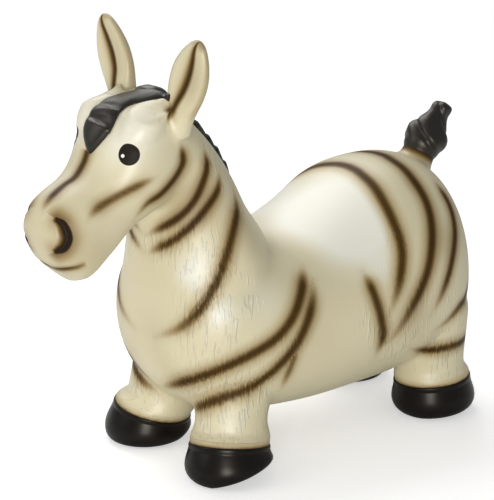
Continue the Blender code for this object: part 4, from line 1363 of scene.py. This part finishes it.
def makeSkinMaterial():
    sheet = Sheet(bpy.data.materials.new("zebra_cream_pvc"), **pvcLook["fixed"])
    warm, hairy = sheet.layer("warm"), sheet.layer("fur")
    cloud = sheet.noise(pvcLook["creamClouds"])
    strokes = hairStrokes(sheet) * hairy
    least, more = pvcLook["frayed"]
    frayed = sheet.noise(*pvcLook["fraying"]) - 0.5
    ratio = sheet.layer("stripe") + frayed * (least + hairy * more)
    core = sum(ratio.rise(outer, inner) * amount for outer, inner, amount in pvcLook["edges"])
    eye, glint = eyeMasks(sheet)
    paint = (core * sheet.layer("strength")).math("MAXIMUM", sheet.layer("dark"))
    # the strokes' ridges are made paler: partly thinner paint, partly a painted highlight
    halos, clouds, combed = pvcLook["tones"]
    # tone: beige above 0, pale below; it holds the painted highlights and painted shade of the spots and ears
    tone = warm + sheet.layer("halo") * halos + (cloud - 0.5) * clouds - strokes * combed
    colour = sheet.mix(tone.rise(0.0, -1.0), pvcColours["cream"], pvcColours["pale"])
    colour = sheet.mix(tone.rise(0.0, 1.0), colour, pvcColours["beige"])
    brown = sheet.node("ShaderNodeValToRGB", dict(stops=pvcColours["brown"]), {0: paint})
    colour = sheet.mix(1.0, colour, brown, "MULTIPLY")
    colour = sheet.mix(sheet.layer("dark").rise(*pvcLook["darkest"]), colour, pvcColours["eye"])
    colour = sheet.mix(eye, colour, pvcColours["eye"])
    sheet.feed("Base Color", sheet.mix(glint, colour, pvcColours["glint"]))
    sheet.feed("Roughness", pvcLook["roughness"] + (cloud - 0.5) * pvcLook["creamUnevenness"])
    bare = 1 - paint.math("MAXIMUM", eye).rise(*pvcLook["painted"])
    sheet.feed("Coat Weight", bare * pvcLook["coat"])
    grain = sheet.noise(pvcLook["grainScale"], detail=1.0)
    sheet.bump(grain * pvcLook["grain"] + legRims(sheet) * pvcLook["rim"] + strokes, pvcLook["relief"])
    return sheet.owner


def eyeMasks(sheet):
    # printed discs on both sides, by their distance from the eye's middle
    where = sheet.folded()
    masks = []
    for name in ("eye", "glint"):
        centre, _ = onSkin(*face[name])
        radius = face[f"{name}Radius"]
        gap = sheet.vector("DISTANCE", where, tuple(centre))
        masks.append(gap.rise(radius + face["printEdge"], radius - face["printEdge"]))
    return masks


def legRims(sheet):
    # a faint ring round each leg, just above its hoof
    where = sheet.where()
    total = 0
    for end, _, side in feet:
        (foot, _), axis = legLine(end, side), rimAxis(end, side)
        level = hoofShape["height"][end] + hoofShape["rimRise"]
        away = sheet.vector("SUBTRACT", where, tuple(foot))
        high = sheet.vector("DOT_PRODUCT", away, tuple(axis))
        near = sheet.vector("DISTANCE", where, tuple(foot + axis * level)).rise(*pvcLook["rimReach"])
        upper = high.rise(*(level + part for part in pvcLook["rimTop"]))
        total += high.rise(level - 1 * mm, level) * upper * near
    return total


def makeBlack(name):
    roughness, gloss, scale, turn, depth = pvcLook["blacks"][name]
    fixed = dict(Specular_IOR_Level=gloss, Specular_Tint=pvcColours["blackSheen"])
    sheet = Sheet(bpy.data.materials.new(name), **fixed)
    combed = sheet.noise(scale, turn, detail=3.0)
    cloud = sheet.noise(pvcLook["blackClouds"])
    sheet.feed("Base Color", sheet.mix(cloud, pvcColours["black"], pvcColours["soot"]))
    sheet.feed("Roughness", roughness + cloud * pvcLook["blackUnevenness"])
    sheet.bump(combed, depth, pvcLook["combing"])
    return sheet.owner


def makeValveMaterial(name):
    sheet = Sheet(bpy.data.materials.new(name), IOR=1.5)
    cloud = sheet.noise(pvcLook["valveClouds"])
    sheet.feed("Base Color", sheet.mix(cloud, pvcColours["milky"], pvcColours["cloudy"]))
    sheet.feed("Roughness", between(pvcLook["valveRoughness"], cloud))
    grain = sheet.noise(pvcLook["grainScale"], detail=1.0)
    sheet.bump(grain, pvcLook["valveGrain"], pvcLook["valveBump"])
    return sheet.owner


def dress(pieces, material):
    for piece in pieces:
        piece.data.materials.clear()
        piece.data.materials.append(material)


dress((zebra, *skinPieces), makeSkinMaterial())
dress(hooves, makeBlack("hoof_black_pvc"))
dress((mane, forelock), makeBlack("hair_black_pvc"))
dress((tuft,), makeBlack("tuft_black_pvc"))
for node in ("valve_seat", "valve_plug"):
    material = makeValveMaterial(f"{node}_pvc")
    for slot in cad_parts[node].material_slots:
        slot.material = material
print("materials made")


# Floor, light and background
stage = {
    "size": 14,
    "aim": 0.22,
    "white": (1, 1, 1, 1),
    "clouds": (40, 40, 40),
    "paper": ((0.86, 0.86, 0.86, 1), (0.88, 0.88, 0.88, 1)),
    "world": 0.30,
    "glow": (0.45, 1.0),  # of the floor near the object and far from it, as the camera sees it
    "glowFade": (0.5, 2.2),
    "lamps": {  # azimuth from the camera's, elevation in degrees, distance, side and power
        "front": (-4, 9, 3.3, 1.05, 60),
        "left": (-76, 28, 2.2, 1.4, 9),
        "top": (-158, 48, 2.0, 1.6, 24),
    },
}


def makeFloor():
    bpy.ops.mesh.primitive_plane_add(size=stage["size"])
    floor = bpy.context.object
    floor.name = "floor"
    paper = Sheet(bpy.data.materials.new("white_paper"), Roughness=0.9, Specular_IOR_Level=0.0)
    paper.feed("Base Color", paper.mix(paper.noise(stage["clouds"]), *stage["paper"]))
    lit = Wire(paper, paper.shader.outputs[0])
    near, far = (paper.node("ShaderNodeEmission", None, {"Strength": strength}) for strength in stage["glow"])
    away = paper.vector("LENGTH", paper.where()).rise(*stage["glowFade"])
    both = paper.node("ShaderNodeAddShader", None, {0: lit, 1: near})
    both = paper.node("ShaderNodeMixShader", None, {0: away, 1: both, 2: far})
    seen = paper.node("ShaderNodeLightPath", out="Is Camera Ray")
    paper.finish("Material Output", paper.node("ShaderNodeMixShader", None, {0: seen, 1: lit, 2: both}))
    floor.data.materials.append(paper.owner)


def makeLamps():
    aim = Vector((0, 0, stage["aim"]))
    for name, (turn, rise, distance, size, power) in stage["lamps"].items():
        turn, rise = view["azimuth"] + radians(turn), radians(rise)
        place = aim + Vector((sin(turn) * cos(rise), -cos(turn) * cos(rise), sin(rise))) * distance
        bpy.ops.object.light_add(type="AREA", location=place)
        lamp = bpy.context.object
        lamp.name = name
        lamp.data.energy, lamp.data.size = power, size
        lamp.rotation_euler = (place - aim).to_track_quat("Z", "Y").to_euler()


def makeSky():
    # dim as a light, and white where the camera sees it
    sky = Sheet(bpy.data.worlds.new("white_sky"))
    bpy.context.scene.world = sky.owner
    sky.tree.nodes.remove(sky.tree.nodes["Background"])
    dim, white = (
        sky.node("ShaderNodeBackground", None, {"Color": stage["white"], "Strength": strength})
        for strength in (stage["world"], 1.0)
    )
    seen = sky.node("ShaderNodeLightPath", out="Is Camera Ray")
    through = sky.node("ShaderNodeLightPath", out="Is Transmission Ray")
    chosen = {0: seen.math("MAXIMUM", through), 1: dim, 2: white}
    sky.finish("World Output", sky.node("ShaderNodeMixShader", None, chosen))


makeFloor()
makeLamps()
makeSky()
bpy.context.scene.view_settings.view_transform = "Standard"
for piece in (*hooves, mane, forelock, tuft, zebra, *skinPieces):
    pickOnly(piece)
    bpy.ops.object.shade_smooth_by_angle(angle=radians(40))
